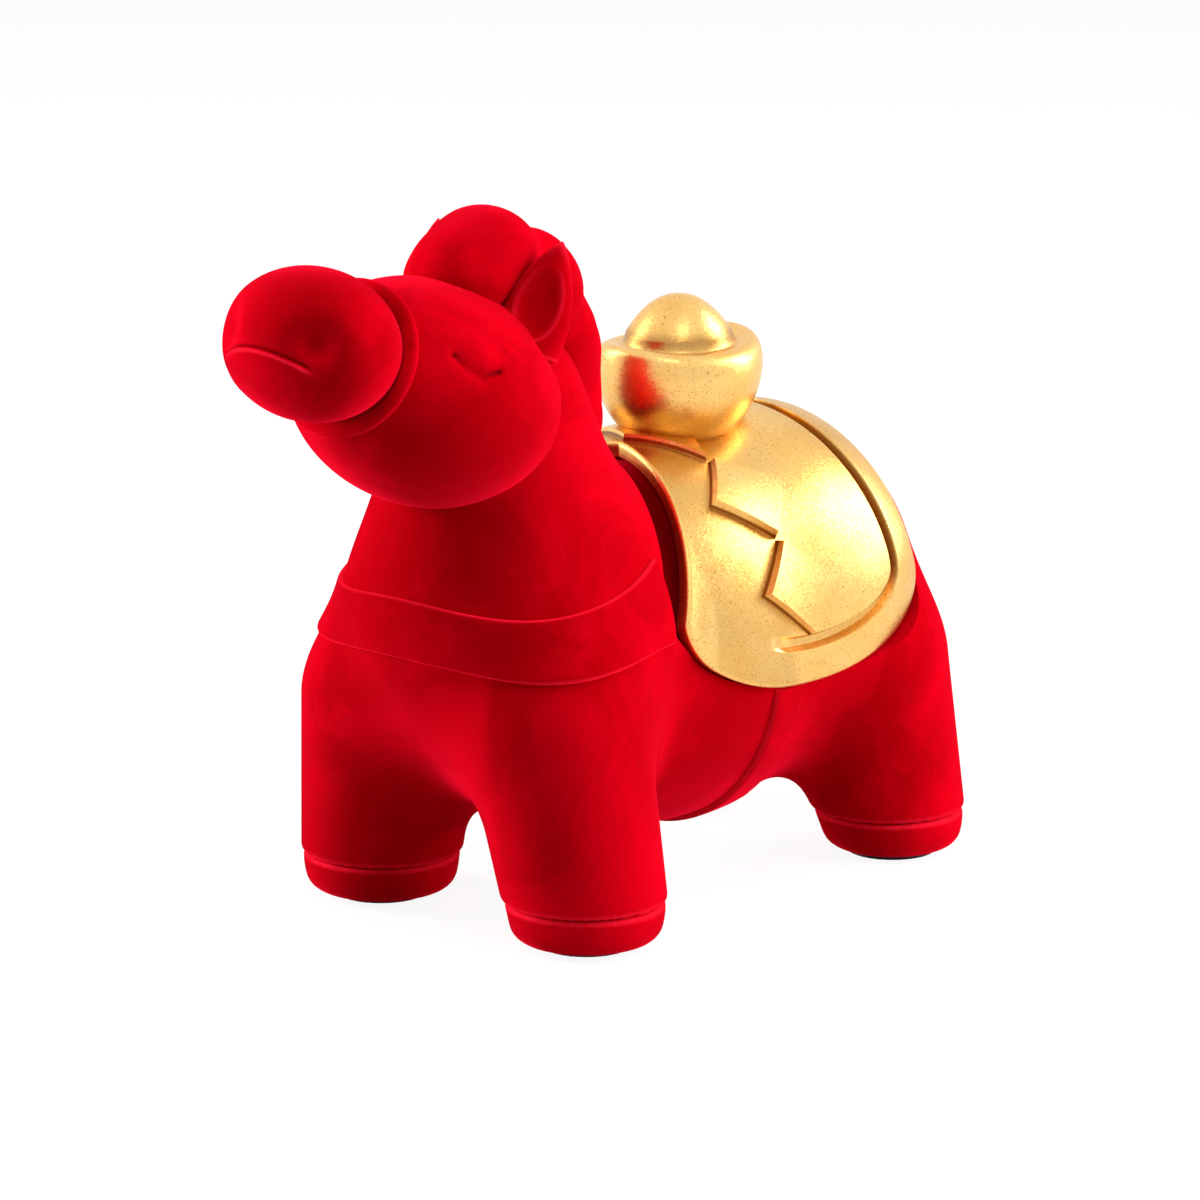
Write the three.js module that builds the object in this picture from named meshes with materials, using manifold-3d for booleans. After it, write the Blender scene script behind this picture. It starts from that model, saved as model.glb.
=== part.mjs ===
// Velvet horse figurine: a stout standing horse in flocked castings, with a gilded saddle blanket
// and a gold ingot on its back. Millimetres, +Z up. The horse faces -Y and its left side is +X.
// It stands on four felt pads on the plane z = 0. It is laid out from the barrel's middle, y = 0,
// and the finished figurine is moved along Y at the end, to stand over its own middle.

import * as THREE from 'three';
import { mergeVertices, toCreasedNormals } from 'three/addons/utils/BufferGeometryUtils.js';
import Module from 'manifold-3d';

const wasm = await Module();
wasm.setup();

// Fits between pieces, and how deep a peg's root is sunk in its own piece
const SEAT_GAP = 0.3;
const PEG_ROOT = 3;

// Fineness of the skins and of the round shapes
const BODY_CELL = 7;
const MANE_CELL = 3.8;
const TAIL_CELL = 4;
const SKULL_SIDES = 26;
const SNOUT_SIDES = 22;
const NOSTRIL_SIDES = 12;
const MOUTH_STEPS = 12;
const ROLL_SIDES = 6;
const ROLL_STEPS = 22;
const EAR_SIDES = 14;
const BOWL_SIDES = 24;
const PROFILE_STEPS = 4;
const PEG_SIDES = 14;
const DISC_SIDES = 24;
const COLLAR_STEPS = 30;
const GIRTH_STEPS = 18;
const BLANKET_SIDE_STEPS = 5;
const BLANKET_BOTTOM_STEPS = 10;
const BLANKET_INNER_RINGS = [0.35, 0.7];

// Trunk: an egg-shaped barrel with a chest and a rump melted into it
const BARREL_WIDTH = 64.5;
const BARREL_LENGTH = 100;
const BARREL_DEPTH = 68.6;
const BARREL_HEIGHT = 44.6;
const CHEST_WIDTH = 59;
const CHEST_LENGTH = 48;
const CHEST_DEPTH = 58;
const CHEST_RISE = 4.8;
const CHEST_INSET = 15.5;
const RUMP_WIDTH = 64.5;
const RUMP_LENGTH = 65;
const RUMP_DEPTH = 64.5;
const RUMP_RISE = 4;
const RUMP_INSET = 23.5;
const TRUNK_BLEND = 8;

// Neck: a cone that leans forward a little
const NECK_BASE_RADIUS = 27.3;
const NECK_TOP_RADIUS = 16.5;
const NECK_BASE_Y = -36.7;
const NECK_BASE_RISE = 12.4;
const NECK_LENGTH = 36;
const NECK_LEAN = 2.8;
const NECK_BLEND = 12;

// Legs, hooves and felt pads
const LEG_SPREAD = 25;
const FRONT_FOOT_Y = -42.3;
const HIND_FOOT_Y = 41;
const FRONT_LEG_RADIUS = 14.5;
const HIND_LEG_RADIUS = 13.5;
const SHOULDER_RADIUS = 16.3;
const SHOULDER_HEIGHT = 38.5;
const SHOULDER_SPREAD = 20;
const SHOULDER_LEAN = -2.2;
const THIGH_RADIUS = 17;
const THIGH_HEIGHT = 36;
const THIGH_SPREAD = 20.3;
const THIGH_LEAN = -5;
const LEG_BLEND = 9;
const SOLE_ROUNDING = 3;
const HOOF_HEIGHT = 8.2;
const HOOF_SPIGOT_RADIUS = 5;
const HOOF_SPIGOT_LENGTH = 6;
const PAD_RADIUS = 8.5;
const PAD_THICKNESS = 1.8;
const PAD_PROUD = 0.4;

// Head and muzzle: two eggs on one axis that points up and forward
const HEAD_PITCH = 24;
const HEAD_WIDTH = 47;
const HEAD_LENGTH = 51;
const HEAD_DEPTH = 40;
const HEAD_FORWARD = 17.5;
const HEAD_RISE = 5.8;
const NECK_SPIGOT_RADIUS = 7;
const NECK_SPIGOT_LENGTH = 9;
const MUZZLE_WIDTH = 34.6;
const MUZZLE_LENGTH = 27.4;
const MUZZLE_DEPTH = 27;
const MUZZLE_REACH = 31;
const MUZZLE_RISE = 0.7;
const MUZZLE_SPIGOT_RADIUS = 4.5;
const MUZZLE_SPIGOT_LENGTH = 7;
const MOUTH_WIDTH = 21;
const MOUTH_DROP = 5.4;
const MOUTH_SLIT = 0.8;
const MOUTH_DEPTH = 1;
const NOSTRIL_RADIUS = 4.2;
const NOSTRIL_DEPTH = 1;
const NOSTRIL_SPREAD = 10.8;
const NOSTRIL_DROP = 1.2;
const NOSEBAND_SECTION = 1.8;
const NOSEBAND_LIFT = 1.8;
const NOSEBAND_SETBACK = 9.5;

// Ears
const EAR_HEIGHT = 16.6;
const EAR_RADIUS = 6.4;
const EAR_FLATNESS = 0.62;
const EAR_SPREAD = 13.4;
const EAR_SETBACK = 7.5;
const EAR_TILT = new THREE.Vector3(0.1, 0.45, 1);
const EAR_FACING = new THREE.Vector3(0.55, -0.83, 0);
const EAR_SHOULDER = 0.45;
const EAR_POINT = 0.3;
const EAR_EMBED = 4;
const EAR_SCOOP_RADIUS = 4.4;
const EAR_SCOOP_DEPTH = 2.6;
const EAR_SCOOP_LENGTH = 15.3;
const EAR_SCOOP_HEIGHT = 6;
const EAR_PEG_RADIUS = 1.6;
const EAR_PEG_LENGTH = 4;

// Mane tufts: how far each is aft and up of the head's centre or the neck's top, and their sizes
const FORELOCK_AFT = 9;
const FORELOCK_UP = 19.6;
const CREST_AFT = 15.5;
const CREST_UP = 22;
const NAPE_AFT = 9.5;
const NAPE_UP = 20;
const MIDDLE_AFT = 15;
const MIDDLE_UP = 8.5;
const LOW_AFT = 17;
const LOW_DOWN = 3;
const TUFT_LENGTH = 18;
const CREST_WIDTH = 22;
const CREST_DEPTH = 17.8;
const NAPE_WIDTH = 20.8;
const NAPE_DEPTH = 22;
const LOW_WIDTH = 17;
const LOW_LENGTH = 16;
const LOW_DEPTH = 24;
const HAIR_BLEND = 2.5;
const MANE_SEAT_SLOPE = 0.3;
const MANE_PEG_RADIUS = 2.5;
const MANE_PEG_LENGTH = 6;

// Tail: a hanging lock of hair behind the rump
const TAIL_HEIGHT = 55;
const TAIL_LENGTH = 28;
const TAIL_ROOT_RADIUS = 5.2;
const TAIL_RADIUS = 7;
const TAIL_TIP_RADIUS = 3;
const TAIL_BEND = 0.6;
const TAIL_STAND_OFF = 3;
const TAIL_PEG_RADIUS = 2.5;
const TAIL_PEG_LENGTH = 7;

// Saddle blanket, laid out flat: across is measured over the back, along runs with the horse
const BLANKET_THICKNESS = 3;
const BLANKET_SINK = 0.8;
const BLANKET_DROP = 57.4;
const BLANKET_BOTTOM_DEPTH = 16.5;
const BLANKET_MIDDLE_Y = 8.5;
const BLANKET_FRONT_TOP_Y = -6;
const BLANKET_FRONT_LOW_Y = -22;
const BLANKET_REAR_TOP_Y = 36;
const BLANKET_REAR_LOW_Y = 39.5;
const BLANKET_EDGE_ROUND = 0.9;
const BORDER_WIDTH = 6.2;
const GROOVE_WIDTH = 2.6;
const GROOVE_DEPTH = 1.1;
const GROOVE_FADE = 10;
const LOZENGE_COUNT = 2;
const LOZENGE_LENGTH = 17.6;
const LOZENGE_WIDTH = 19;
const LOZENGE_DRIFT = 2.4;
const LOZENGE_HEIGHT = 0.7;
const LOZENGE_OVERLAP = 0.5;
const LOZENGE_ROOT = 2;
const CENTRE_LOZENGE_LENGTH = 26.4;
const CENTRE_LOZENGE_WIDTH = 14;
const CENTRE_LOZENGE_Y = 2;

// Breast collar and girth
const BAND_THICKNESS = 2;
const BAND_SINK = 1;
const COLLAR_HEIGHT = 52.6;
const COLLAR_WIDTH = 10.4;
const COLLAR_END_WIDTH = 15;
const COLLAR_SAG = 2.3;
const COLLAR_END_GAP = 4;
const GIRTH_WIDTH = 7.5;
const GIRTH_Y = 4;

// Ingot: a boat-shaped bowl with a dome in it
const INGOT_Y = 9.9;
const INGOT_WIDTH = 28.4;
const INGOT_LENGTH = 33;
const INGOT_FOOT_RADIUS = 9.5;
const INGOT_BELLY_HEIGHT = 8.5;
const INGOT_FULLNESS = 0.42;
const INGOT_RIM_HEIGHT = 16.6;
const INGOT_HORN_RISE = 2.5;
const INGOT_LIP = 3.2;
const INGOT_CORNER = 1;
const INGOT_MOAT_DEPTH = 0.7;
const INGOT_DOME_RADIUS = 8.6;
const INGOT_DOME_HEIGHT = 9.6;
const INGOT_DOME_FILLET = 2.4;
const DOME_SHOULDER = 0.72;
const DOME_CROWN = 0.52;
const INGOT_SINK = 1.6;
const INGOT_PEG_RADIUS = 2.5;
const INGOT_PEG_LENGTH = 10;

const VELVET_RED = 0xc8001c;
const GOLD = 0xe6b04a;
const FELT = 0x2a0a0c;

const vec = (x, y, z) => new THREE.Vector3(x, y, z);
const radians = THREE.MathUtils.degToRad;
const { lerp, smoothstep } = THREE.MathUtils;

// Forms. A form is a signed distance to a skin, with the box that holds it.

function egg(centre, width, length, depth) {
  const radii = vec(width / 2, length / 2, depth / 2);
  const distance = (x, y, z) => {
    const lx = (x - centre.x) / radii.x;
    const ly = (y - centre.y) / radii.y;
    const lz = (z - centre.z) / radii.z;
    const near = Math.hypot(lx, ly, lz);
    const slope = Math.hypot(lx / radii.x, ly / radii.y, lz / radii.z);
    return (near * (near - 1)) / Math.max(slope, 1e-9);
  };
  return { distance, box: new THREE.Box3(centre.clone().sub(radii), centre.clone().add(radii)) };
}

// A cone with ball ends, from a to b.
function roundCone(a, b, radiusA, radiusB) {
  const axis = b.clone().sub(a);
  const lengthSq = axis.lengthSq();
  const taper = radiusA - radiusB;
  const slantSq = lengthSq - taper * taper;
  const distance = (x, y, z) => {
    const px = x - a.x;
    const py = y - a.y;
    const pz = z - a.z;
    const along = px * axis.x + py * axis.y + pz * axis.z;
    const beyond = along - lengthSq;
    const asideSq = (px * lengthSq - axis.x * along) ** 2
      + (py * lengthSq - axis.y * along) ** 2
      + (pz * lengthSq - axis.z * along) ** 2;
    const alongSq = along * along * lengthSq;
    const beyondSq = beyond * beyond * lengthSq;
    const edge = Math.sign(taper) * taper * taper * asideSq;
    if (Math.sign(beyond) * slantSq * beyondSq > edge) {
      return Math.sqrt(asideSq + beyondSq) / lengthSq - radiusB;
    }
    if (Math.sign(along) * slantSq * alongSq < edge) {
      return Math.sqrt(asideSq + alongSq) / lengthSq - radiusA;
    }
    return (Math.sqrt(asideSq * slantSq / lengthSq) + along * taper) / lengthSq - radiusA;
  };
  const box = new THREE.Box3().setFromPoints([a, b]).expandByScalar(Math.max(radiusA, radiusB));
  return { distance, box };
}

function softMin(a, b, blend) {
  const overlap = Math.max(blend - Math.abs(a - b), 0) / blend;
  return Math.min(a, b) - overlap * overlap * blend / 4;
}

function melt(blend, first, ...others) {
  const distance = (x, y, z) => others.reduce(
    (nearest, form) => softMin(nearest, form.distance(x, y, z), blend),
    first.distance(x, y, z),
  );
  const box = others.reduce((all, form) => all.union(form.box), first.box.clone());
  return { distance, box: box.expandByScalar(blend / 4) };
}

function standOn(form, floor, rounding) {
  const distance = (x, y, z) => -softMin(-form.distance(x, y, z), z - floor, rounding);
  const box = form.box.clone();
  box.min.z = floor;
  return { distance, box };
}

function normalAt(form, point) {
  const step = 0.05;
  const { x, y, z } = point;
  return vec(
    form.distance(x + step, y, z) - form.distance(x - step, y, z),
    form.distance(x, y + step, z) - form.distance(x, y - step, z),
    form.distance(x, y, z + step) - form.distance(x, y, z - step),
  ).normalize();
}

// Where a ray that starts inside a form leaves it.
function leave(form, start, direction) {
  const pointAt = (reach) => start.clone().addScaledVector(direction, reach);
  const isInside = (reach) => form.distance(...pointAt(reach).toArray()) < 0;
  let outside = 1;
  while (isInside(outside)) outside += 1;
  let inside = outside - 1;
  for (let i = 0; i < 20; i++) {
    const middle = (inside + outside) / 2;
    if (isInside(middle)) inside = middle;
    else outside = middle;
  }
  return pointAt(outside);
}

// Skinning: one vertex in each grid cell that the skin crosses, drawn onto the skin, and one quad
// round each grid edge that crosses it. The grid is the same on both sides of x = 0.
function skin(form, cell, grow = 0) {
  const half = Math.ceil(Math.max(-form.box.min.x, form.box.max.x) / cell) + 1;
  const countY = Math.ceil((form.box.max.y - form.box.min.y) / cell) + 3;
  const countZ = Math.ceil((form.box.max.z - form.box.min.z) / cell) + 3;
  const counts = [2 * half, countY, countZ];
  const origin = [-half * cell, form.box.min.y - 1.5 * cell, form.box.min.z - 1.4 * cell];
  const strides = [1, counts[0] + 1, (counts[0] + 1) * (counts[1] + 1)];
  const values = new Float64Array(strides[2] * (counts[2] + 1));
  const at = (i, j, k) => i + j * strides[1] + k * strides[2];
  for (let k = 0; k <= counts[2]; k++) {
    for (let j = 0; j <= counts[1]; j++) {
      for (let i = 0; i <= counts[0]; i++) {
        const x = origin[0] + i * cell;
        values[at(i, j, k)] = form.distance(x, origin[1] + j * cell, origin[2] + k * cell);
      }
    }
  }
  const corners = [0, 1, 2, 3, 4, 5, 6, 7].map((n) => [n & 1, (n >> 1) & 1, n >> 2]);
  const edges = corners.flatMap((a, n) => corners.slice(n + 1)
    .filter((b) => a.reduce((sum, value, axis) => sum + Math.abs(value - b[axis]), 0) === 1)
    .map((b) => [a, b]));
  const positions = [];
  const vertexOf = new Map();
  const settle = (cellPoint) => {
    const point = vec(...cellPoint);
    for (let pass = 0; pass < 3; pass++) {
      const depth = form.distance(point.x, point.y, point.z);
      point.addScaledVector(normalAt(form, point), -depth);
    }
    return point.addScaledVector(normalAt(form, point), grow);
  };
  const vertex = (i, j, k) => {
    const key = at(i, j, k);
    if (vertexOf.has(key)) return vertexOf.get(key);
    const sum = [0, 0, 0];
    let crossings = 0;
    for (const [a, b] of edges) {
      const valueA = values[at(i + a[0], j + a[1], k + a[2])];
      const valueB = values[at(i + b[0], j + b[1], k + b[2])];
      if ((valueA < 0) === (valueB < 0)) continue;
      const t = valueA / (valueA - valueB);
      [i, j, k].forEach((index, axis) => {
        sum[axis] += origin[axis] + cell * (index + a[axis] + t * (b[axis] - a[axis]));
      });
      crossings += 1;
    }
    const point = settle(sum.map((value) => value / crossings));
    vertexOf.set(key, positions.length / 3);
    positions.push(point.x, point.y, point.z);
    return vertexOf.get(key);
  };
  const index = [];
  for (let k = 1; k < counts[2]; k++) {
    for (let j = 1; j < counts[1]; j++) {
      for (let i = 1; i < counts[0]; i++) {
        const inside = values[at(i, j, k)] < 0;
        for (let axis = 0; axis < 3; axis++) {
          if (inside === values[at(i, j, k) + strides[axis]] < 0) continue;
          const side = [(axis + 1) % 3, (axis + 2) % 3];
          const ring = [[0, 0], [-1, 0], [-1, -1], [0, -1]].map(([p, q]) => {
            const cellAt = [i, j, k];
            cellAt[side[0]] += p;
            cellAt[side[1]] += q;
            return vertex(...cellAt);
          });
          if (!inside) ring.reverse();
          index.push(ring[0], ring[1], ring[2], ring[0], ring[2], ring[3]);
        }
      }
    }
  }
  return solid(geometryFrom(positions, index));
}

function geometryFrom(positions, index) {
  const geometry = new THREE.BufferGeometry();
  geometry.setAttribute('position', new THREE.Float32BufferAttribute(positions, 3));
  geometry.setIndex(index);
  return geometry;
}

function solid(geometry) {
  const bare = geometry.clone();
  bare.deleteAttribute('normal');
  bare.deleteAttribute('uv');
  const merged = mergeVertices(bare, 1e-4);
  const corners = merged.index.array;
  const kept = [];
  for (let i = 0; i < corners.length; i += 3) {
    const [a, b, c] = [corners[i], corners[i + 1], corners[i + 2]];
    if (a !== b && b !== c && a !== c) kept.push(a, b, c);
  }
  return new wasm.Manifold(new wasm.Mesh({
    numProp: 3,
    vertProperties: merged.attributes.position.array,
    triVerts: new Uint32Array(kept),
  }));
}

// Closed shapes made of rings of equally many points, from a first pole to a last one.
function ringed(firstPole, rings, lastPole) {
  const count = rings[0].length;
  const points = [firstPole, ...rings.flat(), lastPole];
  const last = points.length - 1;
  const index = [];
  for (let i = 0; i < count; i++) {
    const next = (i + 1) % count;
    index.push(0, 1 + next, 1 + i);
    for (let r = 0; r < rings.length - 1; r++) {
      const low = 1 + r * count;
      const high = low + count;
      index.push(low + i, low + next, high + next, low + i, high + next, high + i);
    }
    index.push(last, last - count + i, last - count + next);
  }
  return solid(geometryFrom(points.flatMap((point) => point.toArray()), index));
}

// A patch with a thickness. place(u, v, height) gives a point, with u and v from 0 to 1.
function slab(columns, rows, low, high, place) {
  const positions = [];
  const index = [];
  const width = columns + 1;
  const layer = width * (rows + 1);
  for (const height of [low, high]) {
    for (let j = 0; j <= rows; j++) {
      for (let i = 0; i <= columns; i++) {
        positions.push(...place(i / columns, j / rows, height).toArray());
      }
    }
  }
  const quad = (a, b, c, d) => index.push(a, b, c, a, c, d);
  for (let j = 0; j < rows; j++) {
    for (let i = 0; i < columns; i++) {
      const at = i + j * width;
      quad(layer + at, layer + at + 1, layer + at + 1 + width, layer + at + width);
      quad(at, at + width, at + 1 + width, at + 1);
    }
  }
  for (let i = 0; i < columns; i++) {
    const far = i + rows * width;
    quad(i, i + 1, layer + i + 1, layer + i);
    quad(far + 1, far, layer + far, layer + far + 1);
  }
  for (let j = 0; j < rows; j++) {
    const near = j * width;
    const far = near + columns;
    quad(near + width, near, layer + near, layer + near + width);
    quad(far, far + width, layer + far + width, layer + far);
  }
  return solid(geometryFrom(positions, index));
}

function cylinderBetween(from, to, radius, sides = PEG_SIDES) {
  const axis = to.clone().sub(from);
  const geometry = new THREE.CylinderGeometry(radius, radius, axis.length(), sides);
  geometry.applyQuaternion(new THREE.Quaternion().setFromUnitVectors(vec(0, 1, 0), axis.normalize()));
  const middle = from.clone().add(to).multiplyScalar(0.5);
  return solid(geometry.translate(middle.x, middle.y, middle.z));
}

// A locating peg with the socket that it fits: both start at root and point along direction.
function pegAndSocket(root, direction, radius, length) {
  const way = direction.clone().normalize();
  const start = root.clone().addScaledVector(way, -PEG_ROOT);
  const end = root.clone().addScaledVector(way, length);
  const floor = end.clone().addScaledVector(way, SEAT_GAP);
  return {
    peg: cylinderBetween(start, end, radius),
    socket: cylinderBetween(start, floor, radius + SEAT_GAP),
  };
}

function mirroredSolid(original) {
  return original.mirror([1, 0, 0]);
}

// The horse's form

const barrelCentre = vec(0, 0, BARREL_HEIGHT);
const barrel = egg(barrelCentre, BARREL_WIDTH, BARREL_LENGTH, BARREL_DEPTH);
const chestCentre = vec(0, -BARREL_LENGTH / 2 + CHEST_INSET, BARREL_HEIGHT + CHEST_RISE);
const chest = egg(chestCentre, CHEST_WIDTH, CHEST_LENGTH, CHEST_DEPTH);
const rumpCentre = vec(0, BARREL_LENGTH / 2 - RUMP_INSET, BARREL_HEIGHT + RUMP_RISE);
const rump = egg(rumpCentre, RUMP_WIDTH, RUMP_LENGTH, RUMP_DEPTH);
const neckBase = vec(0, NECK_BASE_Y, BARREL_HEIGHT + NECK_BASE_RISE);
const neckTop = neckBase.clone().add(vec(0, -NECK_LEAN, NECK_LENGTH));
const neck = roundCone(neckBase, neckTop, NECK_BASE_RADIUS, NECK_TOP_RADIUS);
const soleHeight = PAD_PROUD;

function leg(side, footY, radius, topSpread, topLean, topHeight, topRadius) {
  const hip = vec(side * topSpread, footY + topLean, topHeight);
  const foot = vec(side * LEG_SPREAD, footY, radius / 2);
  return roundCone(hip, foot, topRadius, radius);
}

const legs = [1, -1].flatMap((side) => [
  leg(side, FRONT_FOOT_Y, FRONT_LEG_RADIUS,
    SHOULDER_SPREAD, SHOULDER_LEAN, SHOULDER_HEIGHT, SHOULDER_RADIUS),
  leg(side, HIND_FOOT_Y, HIND_LEG_RADIUS, THIGH_SPREAD, THIGH_LEAN, THIGH_HEIGHT, THIGH_RADIUS),
]);
const trunk = melt(TRUNK_BLEND, barrel, chest, rump);
const withNeck = melt(NECK_BLEND, trunk, neck);
const bodyForm = standOn(melt(LEG_BLEND, withNeck, ...legs), soleHeight, SOLE_ROUNDING);

// The saddle blanket's layout is wrapped round the barrel's axis.
const wrapRadius = (BARREL_WIDTH + BARREL_DEPTH) / 4;

function onBack(across, along, height) {
  const angle = across / wrapRadius;
  const direction = vec(Math.sin(angle), 0, Math.cos(angle));
  const point = leave(trunk, vec(0, along, BARREL_HEIGHT), direction);
  return point.addScaledVector(normalAt(trunk, point), height);
}

// Head: the skull and the muzzle share an axis, and this turns their own frame into the horse's.
const headCentre = neckTop.clone().add(vec(0, -HEAD_FORWARD, HEAD_RISE));
const headTurn = new THREE.Matrix4().makeRotationX(-radians(HEAD_PITCH));
headTurn.setPosition(headCentre);
const inHead = (x, y, z) => vec(x, y, z).applyMatrix4(headTurn);
const headForward = inHead(0, -1, 0).sub(headCentre);
const headAxis = vec(0, -MUZZLE_REACH, MUZZLE_RISE);

function ball(centre, width, length, depth, sides) {
  const geometry = new THREE.SphereGeometry(1, sides, Math.ceil(sides / 2));
  geometry.scale(width / 2, length / 2, depth / 2);
  geometry.translate(centre.x, centre.y, centre.z);
  return solid(geometry.applyMatrix4(headTurn));
}

function skull(grow = 0) {
  const more = 2 * grow;
  return ball(vec(0, 0, 0), HEAD_WIDTH + more, HEAD_LENGTH + more, HEAD_DEPTH + more, SKULL_SIDES);
}

// Where a line from the head's centre to a point outside leaves the skull.
function underSkull(target) {
  const ray = target.clone().sub(headCentre);
  const inside = ray.clone().applyAxisAngle(vec(1, 0, 0), radians(HEAD_PITCH));
  const reach = Math.hypot(inside.x / HEAD_WIDTH, inside.y / HEAD_LENGTH, inside.z / HEAD_DEPTH);
  return headCentre.clone().addScaledVector(ray, 1 / (2 * reach));
}

function snout(grow = 0) {
  const more = 2 * grow;
  return ball(headAxis, MUZZLE_WIDTH + more, MUZZLE_LENGTH + more, MUZZLE_DEPTH + more, SNOUT_SIDES);
}

// The mouth is a slit that follows the muzzle's outline at its own height.
function mouthCut() {
  const ratio = Math.sqrt(1 - (MOUTH_DROP / (MUZZLE_DEPTH / 2)) ** 2);
  const across = (MUZZLE_WIDTH / 2) * ratio;
  const along = (MUZZLE_LENGTH / 2) * ratio;
  const sweep = Math.asin(MOUTH_WIDTH / 2 / across);
  const outline = new THREE.Shape();
  const start = -Math.PI / 2 - sweep;
  const end = -Math.PI / 2 + sweep;
  outline.absellipse(0, 0, across - MOUTH_DEPTH, along - MOUTH_DEPTH, start, end, false);
  outline.absellipse(0, 0, across + MOUTH_DEPTH, along + MOUTH_DEPTH, end, start, true);
  const geometry = new THREE.ExtrudeGeometry(outline, {
    depth: MOUTH_SLIT, bevelEnabled: false, curveSegments: MOUTH_STEPS,
  });
  geometry.translate(0, headAxis.y, headAxis.z - MOUTH_DROP - MOUTH_SLIT / 2);
  return solid(geometry.applyMatrix4(headTurn));
}

function nostrilCut(side) {
  const up = -NOSTRIL_DROP;
  const share = (NOSTRIL_SPREAD / (MUZZLE_WIDTH / 2)) ** 2 + (up / (MUZZLE_DEPTH / 2)) ** 2;
  const along = -(MUZZLE_LENGTH / 2) * Math.sqrt(1 - share);
  const outward = vec(
    NOSTRIL_SPREAD / MUZZLE_WIDTH ** 2, along / MUZZLE_LENGTH ** 2, up / MUZZLE_DEPTH ** 2,
  ).normalize();
  const place = vec(NOSTRIL_SPREAD, along, up).add(headAxis);
  place.addScaledVector(outward, NOSTRIL_RADIUS - NOSTRIL_DEPTH);
  place.x *= side;
  const across = 2 * NOSTRIL_RADIUS;
  return ball(place, across, across, across, NOSTRIL_SIDES);
}

// The noseband is a raised roll in the corner between the skull and the muzzle.
function noseband() {
  const fromCentre = headAxis.y + NOSEBAND_SETBACK;
  const ratio = Math.sqrt(1 - (fromCentre / (HEAD_LENGTH / 2)) ** 2);
  const across = (HEAD_WIDTH / 2) * ratio + NOSEBAND_LIFT;
  const up = (HEAD_DEPTH / 2) * ratio + NOSEBAND_LIFT;
  const mean = (across + up) / 2;
  const geometry = new THREE.TorusGeometry(mean, NOSEBAND_SECTION, ROLL_SIDES, ROLL_STEPS);
  geometry.scale(across / mean, up / mean, 1);
  geometry.rotateX(Math.PI / 2);
  geometry.translate(0, fromCentre, MUZZLE_RISE);
  const roll = solid(geometry.applyMatrix4(headTurn));
  return roll.subtract(skull(SEAT_GAP)).subtract(snout(SEAT_GAP));
}

// Ears: an egg-nosed cone, flattened from front to back, with a scooped face.
const earShare = (EAR_SPREAD / (HEAD_WIDTH / 2)) ** 2 + (EAR_SETBACK / (HEAD_LENGTH / 2)) ** 2;
const earRoot = inHead(EAR_SPREAD, EAR_SETBACK, (HEAD_DEPTH / 2) * Math.sqrt(1 - earShare));
const earUp = EAR_TILT.clone().normalize();
const earSide = new THREE.Vector3().crossVectors(EAR_FACING, earUp).normalize();
const earFront = new THREE.Vector3().crossVectors(earUp, earSide).normalize();
const earTurn = new THREE.Matrix4().makeBasis(earSide, earFront, earUp).setPosition(earRoot);

function earCone(grow = 0) {
  const profile = new THREE.Path();
  profile.moveTo(0, -EAR_EMBED - grow);
  profile.lineTo(EAR_RADIUS + grow, -EAR_EMBED - grow);
  profile.lineTo(EAR_RADIUS + grow, 0);
  const top = EAR_HEIGHT + grow;
  profile.bezierCurveTo(
    EAR_RADIUS + grow, top * EAR_SHOULDER, EAR_RADIUS * EAR_POINT, top * (1 - EAR_POINT / 3), 0, top,
  );
  const points = profile.getPoints(PROFILE_STEPS);
  points[points.length - 1].x = 0;
  const geometry = new THREE.LatheGeometry(points, EAR_SIDES);
  geometry.rotateX(Math.PI / 2);
  geometry.scale(1, EAR_FLATNESS, 1);
  return solid(geometry.applyMatrix4(earTurn));
}

function earScoop() {
  const geometry = new THREE.SphereGeometry(1, EAR_SIDES, EAR_SIDES / 2);
  geometry.scale(EAR_SCOOP_RADIUS, EAR_SCOOP_DEPTH, EAR_SCOOP_LENGTH / 2);
  geometry.translate(0, EAR_RADIUS * EAR_FLATNESS, EAR_SCOOP_HEIGHT);
  return solid(geometry.applyMatrix4(earTurn));
}

const earPeg = pegAndSocket(earRoot, earUp.clone().negate(), EAR_PEG_RADIUS, EAR_PEG_LENGTH);

// Mane and tail
function tuft(from, aft, up, width, length, depth) {
  return egg(from.clone().add(vec(0, aft, up)), width, length, depth);
}

const maneForm = melt(
  HAIR_BLEND,
  tuft(headCentre, FORELOCK_AFT, FORELOCK_UP, CREST_WIDTH, TUFT_LENGTH, CREST_DEPTH),
  tuft(headCentre, CREST_AFT, CREST_UP, CREST_WIDTH, TUFT_LENGTH, CREST_DEPTH),
  tuft(neckTop, NAPE_AFT, NAPE_UP, NAPE_WIDTH, TUFT_LENGTH, NAPE_DEPTH),
  tuft(neckTop, MIDDLE_AFT, MIDDLE_UP, (NAPE_WIDTH + LOW_WIDTH) / 2, TUFT_LENGTH, LOW_DEPTH),
  tuft(neckTop, LOW_AFT, -LOW_DOWN, LOW_WIDTH, LOW_LENGTH, LOW_DEPTH),
);

// Where the rump's middle line stands at a height.
const rumpBack = (z) => leave(bodyForm, vec(0, rumpCentre.y, z), vec(0, 1, 0));
const tailRoot = rumpBack(TAIL_HEIGHT);
const tailMiddle = rumpBack(TAIL_HEIGHT - TAIL_LENGTH * TAIL_BEND).add(vec(0, TAIL_STAND_OFF, 0));
const tailTip = tailMiddle.clone().add(vec(0, 0, -TAIL_LENGTH * (1 - TAIL_BEND)));
const tailForm = melt(
  HAIR_BLEND,
  roundCone(tailRoot, tailMiddle, TAIL_ROOT_RADIUS, TAIL_RADIUS),
  roundCone(tailMiddle, tailTip, TAIL_RADIUS, TAIL_TIP_RADIUS),
);

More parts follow.
